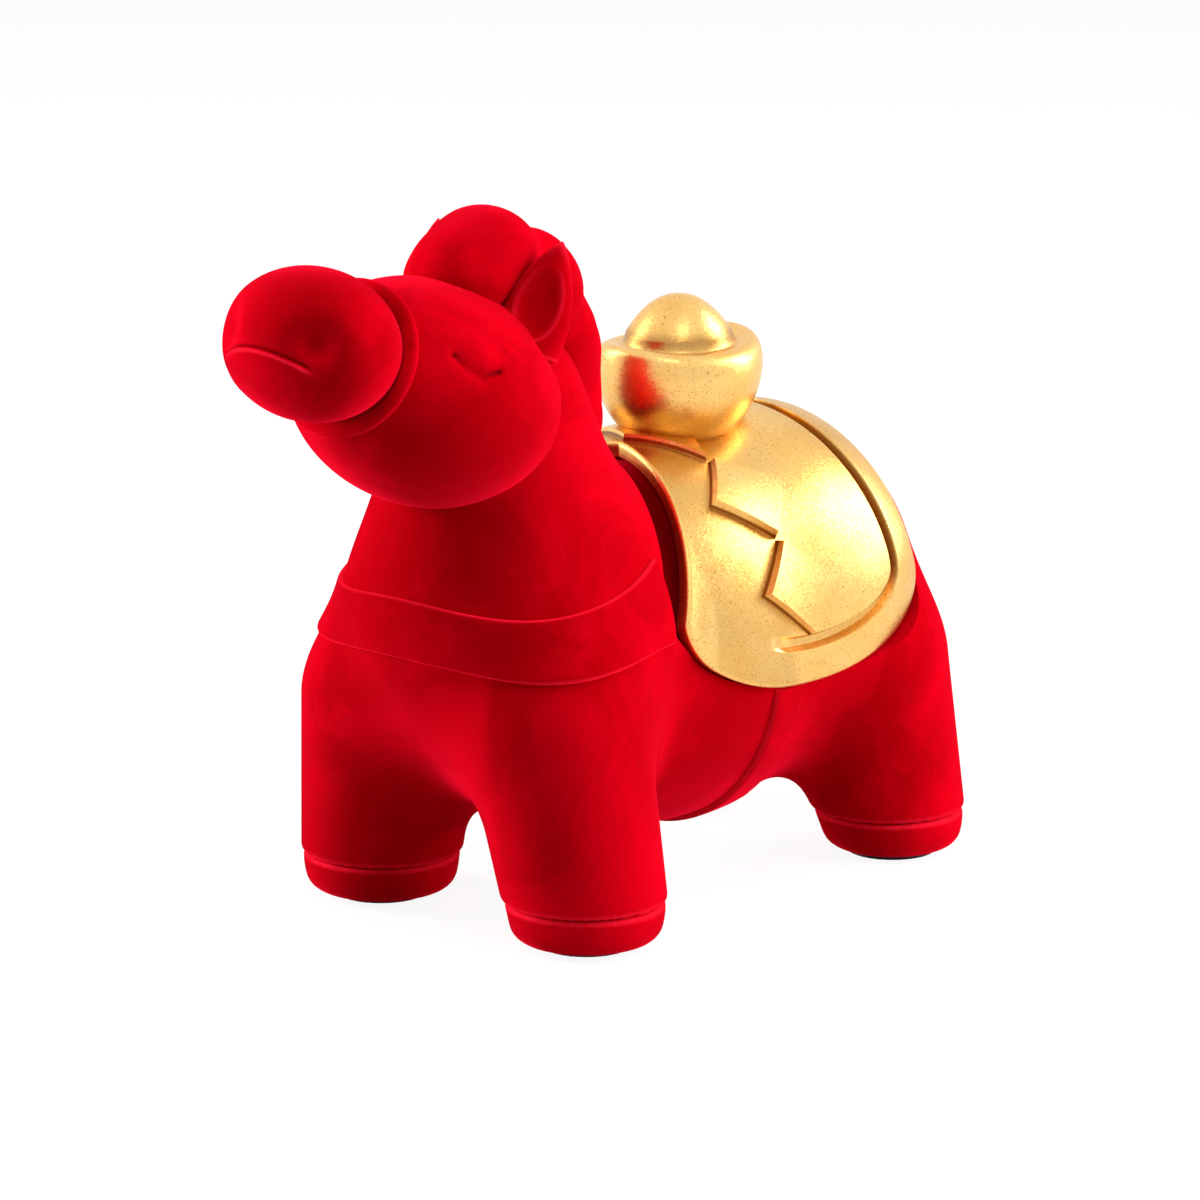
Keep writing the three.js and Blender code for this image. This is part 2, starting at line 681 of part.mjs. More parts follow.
// Blanket
const sideDepth = BLANKET_DROP - BLANKET_BOTTOM_DEPTH;
const blanketTop = BLANKET_THICKNESS - BLANKET_SINK;

function blanketOutline(inset) {
  const half = [];
  const straight = BLANKET_SIDE_STEPS;
  for (let i = 0; i < straight; i++) {
    half.push([sideDepth * i / straight, lerp(BLANKET_FRONT_TOP_Y, BLANKET_FRONT_LOW_Y, i / straight)]);
  }
  for (let i = 0; i <= BLANKET_BOTTOM_STEPS; i++) {
    const turn = (Math.PI * i) / BLANKET_BOTTOM_STEPS;
    const reach = turn < Math.PI / 2
      ? BLANKET_MIDDLE_Y - BLANKET_FRONT_LOW_Y
      : BLANKET_REAR_LOW_Y - BLANKET_MIDDLE_Y;
    half.push([
      sideDepth + BLANKET_BOTTOM_DEPTH * Math.sin(turn),
      BLANKET_MIDDLE_Y - reach * Math.cos(turn),
    ]);
  }
  for (let i = straight - 1; i >= 0; i--) {
    half.push([sideDepth * i / straight, lerp(BLANKET_REAR_TOP_Y, BLANKET_REAR_LOW_Y, i / straight)]);
  }
  const otherSide = half.slice(1, -1).reverse().map(([across, along]) => [-across, along]);
  const outline = [...half, ...otherSide].map(([across, along]) => new THREE.Vector2(across, along));
  return outline.map((point, i) => {
    const before = outline[(i + outline.length - 1) % outline.length];
    const after = outline[(i + 1) % outline.length];
    const inward = after.clone().sub(before).rotateAround(new THREE.Vector2(), Math.PI / 2).normalize();
    return point.clone().addScaledVector(inward, inset);
  });
}

// The groove has its full depth at the rear and runs out towards the blanket's front.
const grooveShare = (y) => smoothstep(y, BLANKET_FRONT_TOP_Y, BLANKET_FRONT_TOP_Y + GROOVE_FADE);

function blanketSolid(grow, low, high, carved) {
  const middle = new THREE.Vector2(0, BLANKET_MIDDLE_Y);
  const ring = (inset, shrink, height, groove = 0) => blanketOutline(inset).map((point) => {
    const along = point.y;
    point.lerp(middle, shrink);
    return onBack(point.x, point.y, height - groove * grooveShare(along));
  });
  const field = BORDER_WIDTH + GROOVE_WIDTH;
  const depth = carved ? GROOVE_DEPTH : 0;
  const under = [...BLANKET_INNER_RINGS].reverse().map((shrink) => ring(field, shrink, low));
  const wall = carved
    ? [ring(0, 0, high - BLANKET_EDGE_ROUND), ring(BLANKET_EDGE_ROUND, 0, high)]
    : [ring(-grow, 0, high)];
  const carving = [
    ring(BORDER_WIDTH, 0, high),
    ring(BORDER_WIDTH + GROOVE_WIDTH / 3, 0, high, depth),
    ring(BORDER_WIDTH + (2 * GROOVE_WIDTH) / 3, 0, high, depth),
    ring(field, 0, high),
  ];
  const top = BLANKET_INNER_RINGS.map((shrink) => ring(field, shrink, high));
  return ringed(
    onBack(0, BLANKET_MIDDLE_Y, low),
    [...under, ring(field, 0, low), ring(-grow, 0, low), ...wall, ...carving, ...top],
    onBack(0, BLANKET_MIDDLE_Y, high),
  );
}

// A raised plate with four corners, between two points of the blanket's layout.
function lozenge(start, end, width, grow = 0) {
  const middle = start.clone().lerp(end, 0.5);
  const corner = (point) => point.lerp(middle, -2 * (LOZENGE_OVERLAP + grow) / LOZENGE_LENGTH);
  const left = corner(start.clone());
  const right = corner(end.clone());
  const front = corner(middle.clone().add(new THREE.Vector2(0, -width / 2)));
  const rear = corner(middle.clone().add(new THREE.Vector2(0, width / 2)));
  const low = blanketTop - LOZENGE_ROOT;
  const high = blanketTop + LOZENGE_HEIGHT + grow;
  return slab(3, 3, low, high, (u, v, height) => {
    const near = left.clone().lerp(front, u);
    const far = rear.clone().lerp(right, u);
    const point = near.lerp(far, v);
    return onBack(point.x, point.y, height);
  });
}

// Breast collar: an open band round the chest that ends before the blanket's front edge.
const collarAxisY = chestCentre.y;
const collarEndY = BLANKET_FRONT_LOW_Y - COLLAR_END_GAP;

function collarEndAngle() {
  let low = 0;
  let high = Math.PI;
  for (let i = 0; i < 30; i++) {
    const angle = (low + high) / 2;
    const direction = vec(Math.sin(angle), -Math.cos(angle), 0);
    const middle = COLLAR_HEIGHT + COLLAR_WIDTH / 2;
    const y = leave(bodyForm, vec(0, collarAxisY, middle), direction).y;
    if (y < collarEndY) low = angle;
    else high = angle;
  }
  return low;
}

function collarSolid(grow, low, high) {
  const endAngle = collarEndAngle() + grow / (CHEST_WIDTH / 2);
  return slab(COLLAR_STEPS, 2, low, high, (u, v, height) => {
    const turn = 2 * u - 1;
    const angle = turn * endAngle;
    const width = lerp(COLLAR_WIDTH, COLLAR_END_WIDTH, turn ** 4);
    const sag = COLLAR_SAG * Math.sin(Math.PI * turn) ** 2;
    const z = COLLAR_HEIGHT - sag - grow + v * (width + 2 * grow);
    const direction = vec(Math.sin(angle), -Math.cos(angle), 0);
    const point = leave(bodyForm, vec(0, collarAxisY, z), direction);
    return point.addScaledVector(normalAt(bodyForm, point), height);
  });
}

// Girth: a strap under the belly, from one edge of the blanket to the other.
function girthSolid(grow, low, high) {
  const start = BLANKET_DROP + SEAT_GAP - grow;
  const end = 2 * Math.PI * wrapRadius - start;
  return slab(GIRTH_STEPS, 1, low, high, (u, v, height) => {
    const along = GIRTH_Y + (v - 0.5) * (GIRTH_WIDTH + 2 * grow);
    return onBack(lerp(start, end, u), along, height);
  });
}

// Ingot: a turned profile, made oval, with its two ends lifted.
const ingotFoot = onBack(0, INGOT_Y, blanketTop - INGOT_SINK);

function ingotBowl() {
  const radius = INGOT_WIDTH / 2;
  const lip = radius - INGOT_LIP;
  const rim = INGOT_RIM_HEIGHT;
  const moat = rim - INGOT_MOAT_DEPTH;
  const dome = INGOT_DOME_RADIUS;
  const fillet = INGOT_DOME_FILLET;
  const crown = moat + INGOT_DOME_HEIGHT;
  const shoulder = moat + INGOT_DOME_HEIGHT * DOME_SHOULDER;
  const belly = INGOT_BELLY_HEIGHT;
  const profile = new THREE.Path();
  profile.moveTo(0, 0);
  profile.lineTo(INGOT_FOOT_RADIUS, 0);
  profile.bezierCurveTo((INGOT_FOOT_RADIUS + radius) / 2, 0, radius, belly * INGOT_FULLNESS,
    radius, belly);
  profile.bezierCurveTo(radius, rim - INGOT_CORNER, radius - INGOT_CORNER, rim, lip, rim);
  profile.bezierCurveTo(lip - INGOT_CORNER, rim, dome + fillet, moat, dome, moat + fillet);
  profile.bezierCurveTo(dome - fillet, shoulder, dome * DOME_CROWN, crown, 0, crown);
  const points = profile.getPoints(PROFILE_STEPS);
  points[points.length - 1].x = 0;
  const geometry = new THREE.LatheGeometry(points, BOWL_SIDES);
  geometry.rotateX(Math.PI / 2);
  const place = geometry.attributes.position;
  for (let i = 0; i < place.count; i++) {
    const x = place.getX(i);
    const y = place.getY(i);
    const reach = Math.hypot(x, y);
    const end = reach > 0 ? (y / reach) ** 2 : 0;
    const lift = smoothstep(reach, INGOT_DOME_RADIUS, radius) * end;
    const height = place.getZ(i) / INGOT_RIM_HEIGHT;
    const stretch = (INGOT_LENGTH / INGOT_WIDTH - 1) * smoothstep(reach, INGOT_DOME_RADIUS / 2, radius);
    place.setY(i, y * (1 + stretch));
    place.setZ(i, place.getZ(i) + INGOT_HORN_RISE * lift * height);
  }
  return solid(geometry.translate(ingotFoot.x, ingotFoot.y, ingotFoot.z));
}

const ingotPeg = pegAndSocket(
  ingotFoot, vec(0, 0, -1), INGOT_PEG_RADIUS, INGOT_PEG_LENGTH,
);

// Feet
const feet = {
  front_left: [LEG_SPREAD, FRONT_FOOT_Y],
  front_right: [-LEG_SPREAD, FRONT_FOOT_Y],
  rear_left: [LEG_SPREAD, HIND_FOOT_Y],
  rear_right: [-LEG_SPREAD, HIND_FOOT_Y],
};

function block(x, y, zLow, zHigh, width, length) {
  const geometry = new THREE.BoxGeometry(width, length, zHigh - zLow);
  return solid(geometry.translate(x, y, (zLow + zHigh) / 2));
}

function disc(x, y, low, high, radius) {
  return cylinderBetween(vec(x, y, low), vec(x, y, high), radius, DISC_SIDES);
}

// Pieces

const wholeBody = skin(bodyForm, BODY_CELL);
const farReach = 4 * BARREL_LENGTH;
const bandLow = -BAND_SINK;
const bandHigh = BAND_THICKNESS - BAND_SINK;
const neckSpigot = pegAndSocket(
  underSkull(neckBase), headCentre.clone().sub(neckBase), NECK_SPIGOT_RADIUS, NECK_SPIGOT_LENGTH,
);
const tailPeg = pegAndSocket(tailRoot, vec(0, -1, 0), TAIL_PEG_RADIUS, TAIL_PEG_LENGTH);
const maneAft = vec(0, 1, MANE_SEAT_SLOPE).normalize();
const manePeg = pegAndSocket(
  leave(neck, neckTop, maneAft), maneAft.clone().negate(), MANE_PEG_RADIUS, MANE_PEG_LENGTH,
);
const muzzlePeg = pegAndSocket(
  inHead(0, headAxis.y + MUZZLE_LENGTH / 2, MUZZLE_RISE),
  headForward.clone().negate(),
  MUZZLE_SPIGOT_RADIUS,
  MUZZLE_SPIGOT_LENGTH,
);

function hoof([x, y]) {
  const reach = LEG_SPREAD * 2;
  const slice = block(x, y, -1, HOOF_HEIGHT - SEAT_GAP, reach, reach);
  const top = HOOF_HEIGHT - SEAT_GAP;
  const spigot = disc(x, y, top - 1, top + HOOF_SPIGOT_LENGTH, HOOF_SPIGOT_RADIUS);
  const recess = disc(x, y, -1, PAD_THICKNESS + SEAT_GAP, PAD_RADIUS + SEAT_GAP);
  return wholeBody.intersect(slice).add(spigot).subtract(recess);
}

function hoofSocket([x, y]) {
  const top = HOOF_HEIGHT + HOOF_SPIGOT_LENGTH;
  return disc(x, y, HOOF_HEIGHT - 1, top, HOOF_SPIGOT_RADIUS + SEAT_GAP);
}

let bodySolid = wholeBody
  .subtract(block(0, 0, -1, HOOF_HEIGHT, farReach, farReach))
  .subtract(skull(SEAT_GAP))
  .add(neckSpigot.peg)
  .subtract(blanketSolid(SEAT_GAP, -BLANKET_SINK - SEAT_GAP, 2 * blanketTop, false))
  .subtract(collarSolid(SEAT_GAP, bandLow - SEAT_GAP, 2 * BAND_THICKNESS))
  .subtract(girthSolid(SEAT_GAP, bandLow - SEAT_GAP, 2 * BAND_THICKNESS))
  .subtract(ingotPeg.socket)
  .subtract(manePeg.socket)
  .subtract(tailPeg.socket);
for (const foot of Object.values(feet)) bodySolid = bodySolid.subtract(hoofSocket(foot));

const ear = earCone().subtract(earScoop()).subtract(skull(SEAT_GAP)).add(earPeg.peg);
const headSolid = skull()
  .subtract(snout(SEAT_GAP))
  .subtract(neckSpigot.socket)
  .subtract(muzzlePeg.socket)
  .subtract(earPeg.socket)
  .subtract(mirroredSolid(earPeg.socket));
const muzzleSolid = snout()
  .add(muzzlePeg.peg)
  .subtract(mouthCut())
  .subtract(nostrilCut(1))
  .subtract(nostrilCut(-1));
const earRoom = earCone(SEAT_GAP);
const maneSolid = skin(maneForm, MANE_CELL)
  .subtract(skull(SEAT_GAP).add(earRoom).add(mirroredSolid(earRoom)))
  .subtract(skin(bodyForm, BODY_CELL, SEAT_GAP))
  .add(manePeg.peg);
const tailSolid = skin(tailForm, TAIL_CELL)
  .subtract(skin(bodyForm, BODY_CELL, SEAT_GAP))
  .add(tailPeg.peg);

let blanket = blanketSolid(0, -BLANKET_SINK, blanketTop, true);
const centreTip = new THREE.Vector2(CENTRE_LOZENGE_LENGTH / 2, CENTRE_LOZENGE_Y);
const otherTip = new THREE.Vector2(-centreTip.x, centreTip.y);
const centreLozenge = [otherTip, centreTip, CENTRE_LOZENGE_WIDTH];
blanket = blanket.add(lozenge(...centreLozenge));
for (let number = 0; number < LOZENGE_COUNT; number++) {
  const step = new THREE.Vector2(LOZENGE_LENGTH, LOZENGE_DRIFT);
  const start = centreTip.clone().addScaledVector(step, number);
  const plate = lozenge(start, start.clone().add(step), LOZENGE_WIDTH);
  blanket = blanket.add(plate).add(mirroredSolid(plate));
}
blanket = blanket.subtract(ingotPeg.socket);
const ingotSeat = blanketSolid(0, -BLANKET_THICKNESS, blanketTop + SEAT_GAP, false)
  .add(lozenge(...centreLozenge, SEAT_GAP));
const ingotSolid = ingotBowl().subtract(ingotSeat).add(ingotPeg.peg);

// The model

const velvet = new THREE.MeshStandardMaterial({ color: VELVET_RED, roughness: 0.95, metalness: 0 });
const gilt = new THREE.MeshStandardMaterial({ color: GOLD, roughness: 0.32, metalness: 1 });
const felt = new THREE.MeshStandardMaterial({ color: FELT, roughness: 1, metalness: 0 });
const CREASE = radians(35);

const horse = new THREE.Group();

function addPiece(name, shape, material) {
  const { numProp, vertProperties, triVerts } = shape.getMesh();
  const positions = [];
  for (let i = 0; i < vertProperties.length; i += numProp) {
    positions.push(vertProperties[i], vertProperties[i + 1], vertProperties[i + 2]);
  }
  const geometry = toCreasedNormals(geometryFrom(positions, [...triVerts]), CREASE);
  const mesh = new THREE.Mesh(geometry, material.clone());
  mesh.name = name;
  horse.add(mesh);
}

addPiece('body', bodySolid, velvet);
addPiece('head', headSolid, velvet);
addPiece('muzzle', muzzleSolid, velvet);
addPiece('noseband', noseband(), velvet);
addPiece('left_ear', ear, velvet);
addPiece('right_ear', mirroredSolid(ear), velvet);
addPiece('mane', maneSolid, velvet);
addPiece('tail', tailSolid, velvet);
addPiece('breast_collar', collarSolid(0, bandLow, bandHigh), velvet);
addPiece('girth', girthSolid(0, bandLow, bandHigh), velvet);
addPiece('saddle_blanket', blanket, gilt);
addPiece('ingot', ingotSolid, gilt);
for (const [name, foot] of Object.entries(feet)) {
  addPiece(`${name}_hoof`, hoof(foot), velvet);
  addPiece(`${name}_pad`, disc(foot[0], foot[1], 0, PAD_THICKNESS, PAD_RADIUS), felt);
}

const outer = new THREE.Box3().setFromObject(horse);
const middle = outer.getCenter(vec(0, 0, 0));
for (const piece of horse.children) piece.geometry.translate(-middle.x, -middle.y, -outer.min.z);

export default horse;
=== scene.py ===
# %% [markdown]
# # A velvet horse figurine in Blender
# The real object is a small desk ornament. A few castings are glued together and flocked with red
# velvet, and a saddle blanket and an ingot are painted gold. This lesson dresses the solids of the
# frame, piece by piece, with finer shapes and finishes. All sizes are in millimetres until a mesh
# is made, because that is how a maker would measure the real one.

# %% Load the frame
import math

import bpy
import numpy as np
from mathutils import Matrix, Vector


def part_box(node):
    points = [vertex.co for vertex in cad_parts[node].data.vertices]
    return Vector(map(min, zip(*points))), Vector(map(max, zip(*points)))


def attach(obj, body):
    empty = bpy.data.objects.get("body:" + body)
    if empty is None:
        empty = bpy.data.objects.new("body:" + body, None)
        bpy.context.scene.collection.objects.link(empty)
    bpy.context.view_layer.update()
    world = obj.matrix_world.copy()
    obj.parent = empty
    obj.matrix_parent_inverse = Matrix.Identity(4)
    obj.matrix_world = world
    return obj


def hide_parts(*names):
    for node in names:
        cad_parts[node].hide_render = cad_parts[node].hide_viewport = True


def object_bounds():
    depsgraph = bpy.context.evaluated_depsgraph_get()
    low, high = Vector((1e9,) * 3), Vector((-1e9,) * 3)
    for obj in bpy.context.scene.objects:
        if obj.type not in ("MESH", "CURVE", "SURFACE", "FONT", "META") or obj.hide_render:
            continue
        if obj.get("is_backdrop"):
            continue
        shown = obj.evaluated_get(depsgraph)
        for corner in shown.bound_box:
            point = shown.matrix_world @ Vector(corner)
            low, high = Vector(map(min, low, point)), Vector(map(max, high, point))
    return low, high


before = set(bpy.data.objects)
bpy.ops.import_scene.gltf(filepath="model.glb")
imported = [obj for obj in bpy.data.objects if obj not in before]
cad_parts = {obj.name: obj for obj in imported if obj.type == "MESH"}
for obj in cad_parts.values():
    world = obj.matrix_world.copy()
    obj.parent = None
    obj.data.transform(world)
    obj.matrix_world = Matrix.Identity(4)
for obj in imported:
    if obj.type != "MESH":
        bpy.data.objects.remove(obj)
cad_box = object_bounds()
print("solids in the frame:", len(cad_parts))

# %% [markdown]
# The frame stands over its own middle, but the sizes below count from the middle of the barrel.
# A felt pad lies right under its foot, so one pad says how far the two are apart.

# %% Find the shift between the sizes and the frame
MM = 0.001
FRONT_FOOT_Y = -42.3
pad_low, pad_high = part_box("front_left_pad")
SHIFT_Y = (pad_low.y + pad_high.y) / 2 / MM - FRONT_FOOT_Y
print(f"the frame lies {SHIFT_Y:.3f} mm further back")


def in_frame(x, y, z):
    return Vector((x * MM, (y + SHIFT_Y) * MM, z * MM))


# %% [markdown]
# The photograph was taken from far away with a long lens, from the horse's left front and a little
# above, so the camera stands back and its lens is long.

# %% Camera
scene = bpy.context.scene
CAMERA_TURN, CAMERA_RISE, CAMERA_DISTANCE = 42.25, 14.34, 1540
CAMERA_AIM = (-10.14, 0, 48.79)
CAMERA_LENS, SENSOR_WIDTH = 254.1, 36


def new_object(name, data):
    thing = bpy.data.objects.new(name, data)
    scene.collection.objects.link(thing)
    return thing


def aim(thing, turn, rise, distance, target):
    """Looks at a target from a direction turned to the horse's left from ahead, and raised."""
    a, e = math.radians(turn), math.radians(rise)
    way = Vector((math.sin(a) * math.cos(e), -math.cos(a) * math.cos(e), math.sin(e)))
    thing.location = in_frame(*target) + way * distance * MM
    thing.rotation_euler = way.to_track_quat("Z", "Y").to_euler()


camera_data = bpy.data.cameras.new("camera")
camera_data.lens, camera_data.sensor_width = CAMERA_LENS, SENSOR_WIDTH
camera = new_object("camera", camera_data)
aim(camera, CAMERA_TURN, CAMERA_RISE, CAMERA_DISTANCE, CAMERA_AIM)
scene.camera = camera
print("camera stands at", [round(v, 3) for v in camera.location])

# %% [markdown]
# Nodes are easier to read when one line makes a node and plugs it in. These helpers serve the
# shader trees as well as the geometry trees. A node that is plugged in stands for its first output.


# %% Helpers for node trees
def plug(tree, node, inputs):
    """Sets a node's inputs to values, or links them to nodes and sockets."""
    for key, value in inputs.items():
        if isinstance(value, bpy.types.Node):
            value = value.outputs[0]
        if isinstance(value, bpy.types.NodeSocket):
            tree.links.new(value, node.inputs[key])
        else:
            node.inputs[key].default_value = value


def add(tree, kind, inputs=None, **settings):
    """A new node with its settings and its inputs."""
    node = tree.nodes.new(kind)
    for key, value in settings.items():
        setattr(node, key, value)
    plug(tree, node, inputs or {})
    return node


def calc(tree, operation, *values):
    return add(tree, "ShaderNodeMath", dict(enumerate(values)), operation=operation)


def vector_calc(tree, operation, *values):
    return add(tree, "ShaderNodeVectorMath", dict(enumerate(values)), operation=operation)


def vector(tree, x=0.0, y=0.0, z=0.0):
    return add(tree, "ShaderNodeCombineXYZ", {"X": x, "Y": y, "Z": z})


def split(tree, value):
    return add(tree, "ShaderNodeSeparateXYZ", {0: value}).outputs


def spread(tree, value, low, high, **settings):
    """0 below a low value, 1 above a high one, and in between a share."""
    return add(tree, "ShaderNodeMapRange",
               {"Value": value, "From Min": low, "From Max": high}, **settings)


def empty_tree(owner):
    """The node tree of a material or a world, with nothing in it."""
    owner.use_nodes = True
    owner.node_tree.nodes.clear()
    return owner.node_tree


def open_tree(name, kind, sockets_in, sockets_out):
    """A group tree with its named sockets, and its input and output nodes."""
    tree = bpy.data.node_groups.new(name, kind)
    for side, sockets in (("INPUT", sockets_in), ("OUTPUT", sockets_out)):
        for label, socket_type, *default in sockets:
            socket = tree.interface.new_socket(label, in_out=side, socket_type=socket_type)
            if default:
                socket.default_value = default[0]
    return tree, add(tree, "NodeGroupInput"), add(tree, "NodeGroupOutput")


FLOAT, VECTOR, COLOUR = "NodeSocketFloat", "NodeSocketVector", "NodeSocketColor"
GEOMETRY, OBJECT, WHOLE = "NodeSocketGeometry", "NodeSocketObject", "NodeSocketInt"
MATERIAL = "NodeSocketMaterial"

# %% [markdown]
# The studio is plain: a pale floor, a white world and six lamps. Three boxes are seen in the gold
# as its highlights: two far to the sides and one high at the front. Three large washes light the
# velvet from its edges and from above, and aren't seen in the gold. The background is white because
# the camera's own rays, and mirror rays, see white there, and not because more light falls on the
# horse.

# %% World and floor
WORLD_LIGHT = 0.02
FLOOR_COLOUR = (0.5, 0.49, 0.49, 1)
SEEN_SHADE, SEEN_GLOW = 0.14, 1.05
WHITE = (1, 1, 1, 1)
scene.view_settings.view_transform = "Standard"


def seen_rays(tree):
    """1 for rays that should see the white backdrop: camera, mirror and glass rays."""
    path = add(tree, "ShaderNodeLightPath").outputs
    first = calc(tree, "MAXIMUM", path["Is Camera Ray"], path["Is Glossy Ray"])
    return calc(tree, "MAXIMUM", first, path["Is Transmission Ray"])


def mix_shader(tree, share, first, second):
    return add(tree, "ShaderNodeMixShader", {0: share, 1: first, 2: second})


def build_world():
    world = bpy.data.worlds.new("white studio")
    tree = empty_tree(world)
    light = add(tree, "ShaderNodeBackground", {"Color": WHITE, "Strength": WORLD_LIGHT})
    seen = add(tree, "ShaderNodeBackground", {"Color": WHITE, "Strength": 1.0})
    mixed = mix_shader(tree, seen_rays(tree), light, seen)
    add(tree, "ShaderNodeOutputWorld", {"Surface": mixed})
    scene.world = world


def build_floor(half=4.0):
    mesh = bpy.data.meshes.new("floor")
    corners = [(-half, -half, 0), (half, -half, 0), (half, half, 0), (-half, half, 0)]
    mesh.from_pydata(corners, [], [(0, 1, 2, 3)])
    material = bpy.data.materials.new("pale floor")
    tree = empty_tree(material)
    bounce = add(tree, "ShaderNodeBsdfDiffuse", {"Color": FLOOR_COLOUR})
    glow = add(tree, "ShaderNodeEmission", {"Color": WHITE, "Strength": SEEN_GLOW})
    white = add(tree, "ShaderNodeBsdfDiffuse", {"Color": WHITE})
    seen = mix_shader(tree, SEEN_SHADE, glow, white)
    mixed = mix_shader(tree, seen_rays(tree), bounce, seen)
    add(tree, "ShaderNodeOutputMaterial", {"Surface": mixed})
    mesh.materials.append(material)
    new_object("floor", mesh)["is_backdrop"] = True


build_world()
build_floor()

# %% Soft boxes: turn, rise, distance, width, height, radiance, and whether mirrors see them
LAMP_AIM = (0, 0, 55)
SOFT_BOXES = {
    "left_box": (-66, 26, 800, 300, 500, 4.0, True),
    "right_box": (152, 24, 800, 300, 500, 8.0, True),
    "front_box": (66, 60, 900, 260, 260, 2.5, True),
    "left_wash": (-57, 8, 850, 600, 600, 12.0, False),
    "right_wash": (120, 14, 850, 600, 600, 8.8, False),
    "top_wash": (42, 80, 850, 500, 500, 6.5, False),
}
for label, (turn, rise, distance, width, height, radiance, mirrored_too) in SOFT_BOXES.items():
    lamp = bpy.data.lights.new(label, "AREA")
    lamp.shape = "RECTANGLE"
    lamp.size, lamp.size_y = width * MM, height * MM
    lamp.energy = radiance * math.pi * lamp.size * lamp.size_y
    box = new_object(label, lamp)
    aim(box, turn, rise, distance, LAMP_AIM)
    box.visible_camera = False
    box.visible_glossy = mirrored_too
    print(label, f"gives {lamp.energy:.2f} W")

# %% [markdown]
# Velvet, gold paint and felt all have a fine grain and slow patches: pile that was brushed one way
# or the other, paint that lies thicker, felt that was pressed. One group makes both from object
# coordinates, so that the pattern stays on the piece.


# %% Grain and patches, shared by all finishes
def build_grain():
    tree, given, result = open_tree(
        "grain and patches", "ShaderNodeTree",
        [("Grain", FLOAT, 0.3), ("Patch", FLOAT, 20.0), ("Ragged", FLOAT, 0.4)],
        [("Grain", FLOAT), ("Patch", FLOAT), ("Height", FLOAT)])
    place = add(tree, "ShaderNodeTexCoord").outputs["Object"]
    per_metre = calc(tree, "DIVIDE", 1 / MM, given.outputs["Grain"])
    fine = add(tree, "ShaderNodeTexNoise",
               {"Vector": place, "Scale": per_metre, "Detail": 2.0, "Roughness": 0.6})
    per_patch = calc(tree, "DIVIDE", 1 / MM, given.outputs["Patch"])
    slow = add(tree, "ShaderNodeTexNoise",
               {"Vector": place, "Scale": per_patch, "Detail": 5.0, "Roughness": 0.62,
                "Distortion": given.outputs["Ragged"]})
    patch = spread(tree, slow, 0.36, 0.64, interpolation_type="SMOOTHSTEP")
    plug(tree, result, {"Grain": fine, "Patch": patch, "Height": fine})
    return tree


GRAIN = build_grain()


def grain_node(tree, grain, patch, ragged):
    return add(tree, "ShaderNodeGroup",
               {"Grain": grain, "Patch": patch, "Ragged": ragged}, node_tree=GRAIN)


def mix_colour(tree, share, first, second):
    node = add(tree, "ShaderNodeMix", {"Factor": share, 6: first, 7: second}, data_type="RGBA")
    return node.outputs[2]


# %% [markdown]
# Velvet is dark where one looks straight into the pile and bright along its edges, where the
# fibres are seen from the side. The sheen of the Principled shader does just that. Under it lies a
# deep red that the patches and the grain vary, and there is no gloss at all. Along convex edges the
# colour is lightened, a painted highlight, and in creases it is darkened, a painted shade. Each
# mesh says with an attribute how far it bends at a point, per millimetre.

# %% Velvet
VELVET_DEEP = (0.35, 0, 0.002, 1)
VELVET_BRUSHED = (0.5, 0, 0.005, 1)
# Next come a painted highlight for convex edges and a painted shade for creases and cut-in floors.
VELVET_PAINTED_HIGHLIGHT = (0.85, 0.01, 0.03, 1)
VELVET_PAINTED_SHADE = (0.08, 0, 0, 1)
PAINTED_HIGHLIGHT_BEND, PAINTED_SHADE_BEND = (0.35, 1.5), (-0.2, -1.6)
VELVET_SHEEN = (1, 0.008, 0.036, 1)


def new_material(name):
    material = bpy.data.materials.new(name)
    return material, empty_tree(material)


def principled(tree, inputs):
    shader = add(tree, "ShaderNodeBsdfPrincipled", inputs)
    add(tree, "ShaderNodeOutputMaterial", {"Surface": shader})


def bump(tree, height, depth, strength):
    return add(tree, "ShaderNodeBump",
               {"Height": height, "Distance": depth * MM, "Strength": strength})


def build_velvet():
    material, tree = new_material("red velvet")
    grain = grain_node(tree, 0.45, 26.0, 0.9).outputs
    flecks = calc(tree, "MULTIPLY_ADD", grain["Grain"], 0.5, -0.25)
    share = calc(tree, "ADD", grain["Patch"], flecks)
    colour = mix_colour(tree, share, VELVET_DEEP, VELVET_BRUSHED)
    bend = add(tree, "ShaderNodeAttribute", attribute_name="bend").outputs["Fac"]
    # Painted highlight where the mesh bends out, painted shade where it bends in.
    for (start, full), tint in ((PAINTED_HIGHLIGHT_BEND, VELVET_PAINTED_HIGHLIGHT), (PAINTED_SHADE_BEND, VELVET_PAINTED_SHADE)):
        colour = mix_colour(tree, spread(tree, bend, start, full), colour, tint)
    principled(tree, {"Base Color": colour, "Roughness": 1.0, "Specular IOR Level": 0.0,
                      "Sheen Weight": 1.0, "Sheen Roughness": 0.45, "Sheen Tint": VELVET_SHEEN,
                      "Normal": bump(tree, grain["Height"], 0.12, 0.5)})
    return material


VELVET = build_velvet()

# %% [markdown]
# The gold is a metallic paint: a satin mirror full of tiny flakes that lie at slightly different
# angles, with dark specks where the ground shows between them. Each cell of a Voronoi texture is a
# flake, and its random colour tilts the surface there. The specks are the highest values of a fine
# noise. In grooves, on the lozenges' sloping sides, in the ingot's moat and under its belly, a
# painted shade turns the paint dark brown, where an attribute says so.

# %% Gold paint
GOLD_LIGHT = (0.95, 0.60, 0.20, 1)
GOLD_WARM = (0.93, 0.54, 0.15, 1)
GOLD_SPECK = (0.50, 0.20, 0.04, 1)
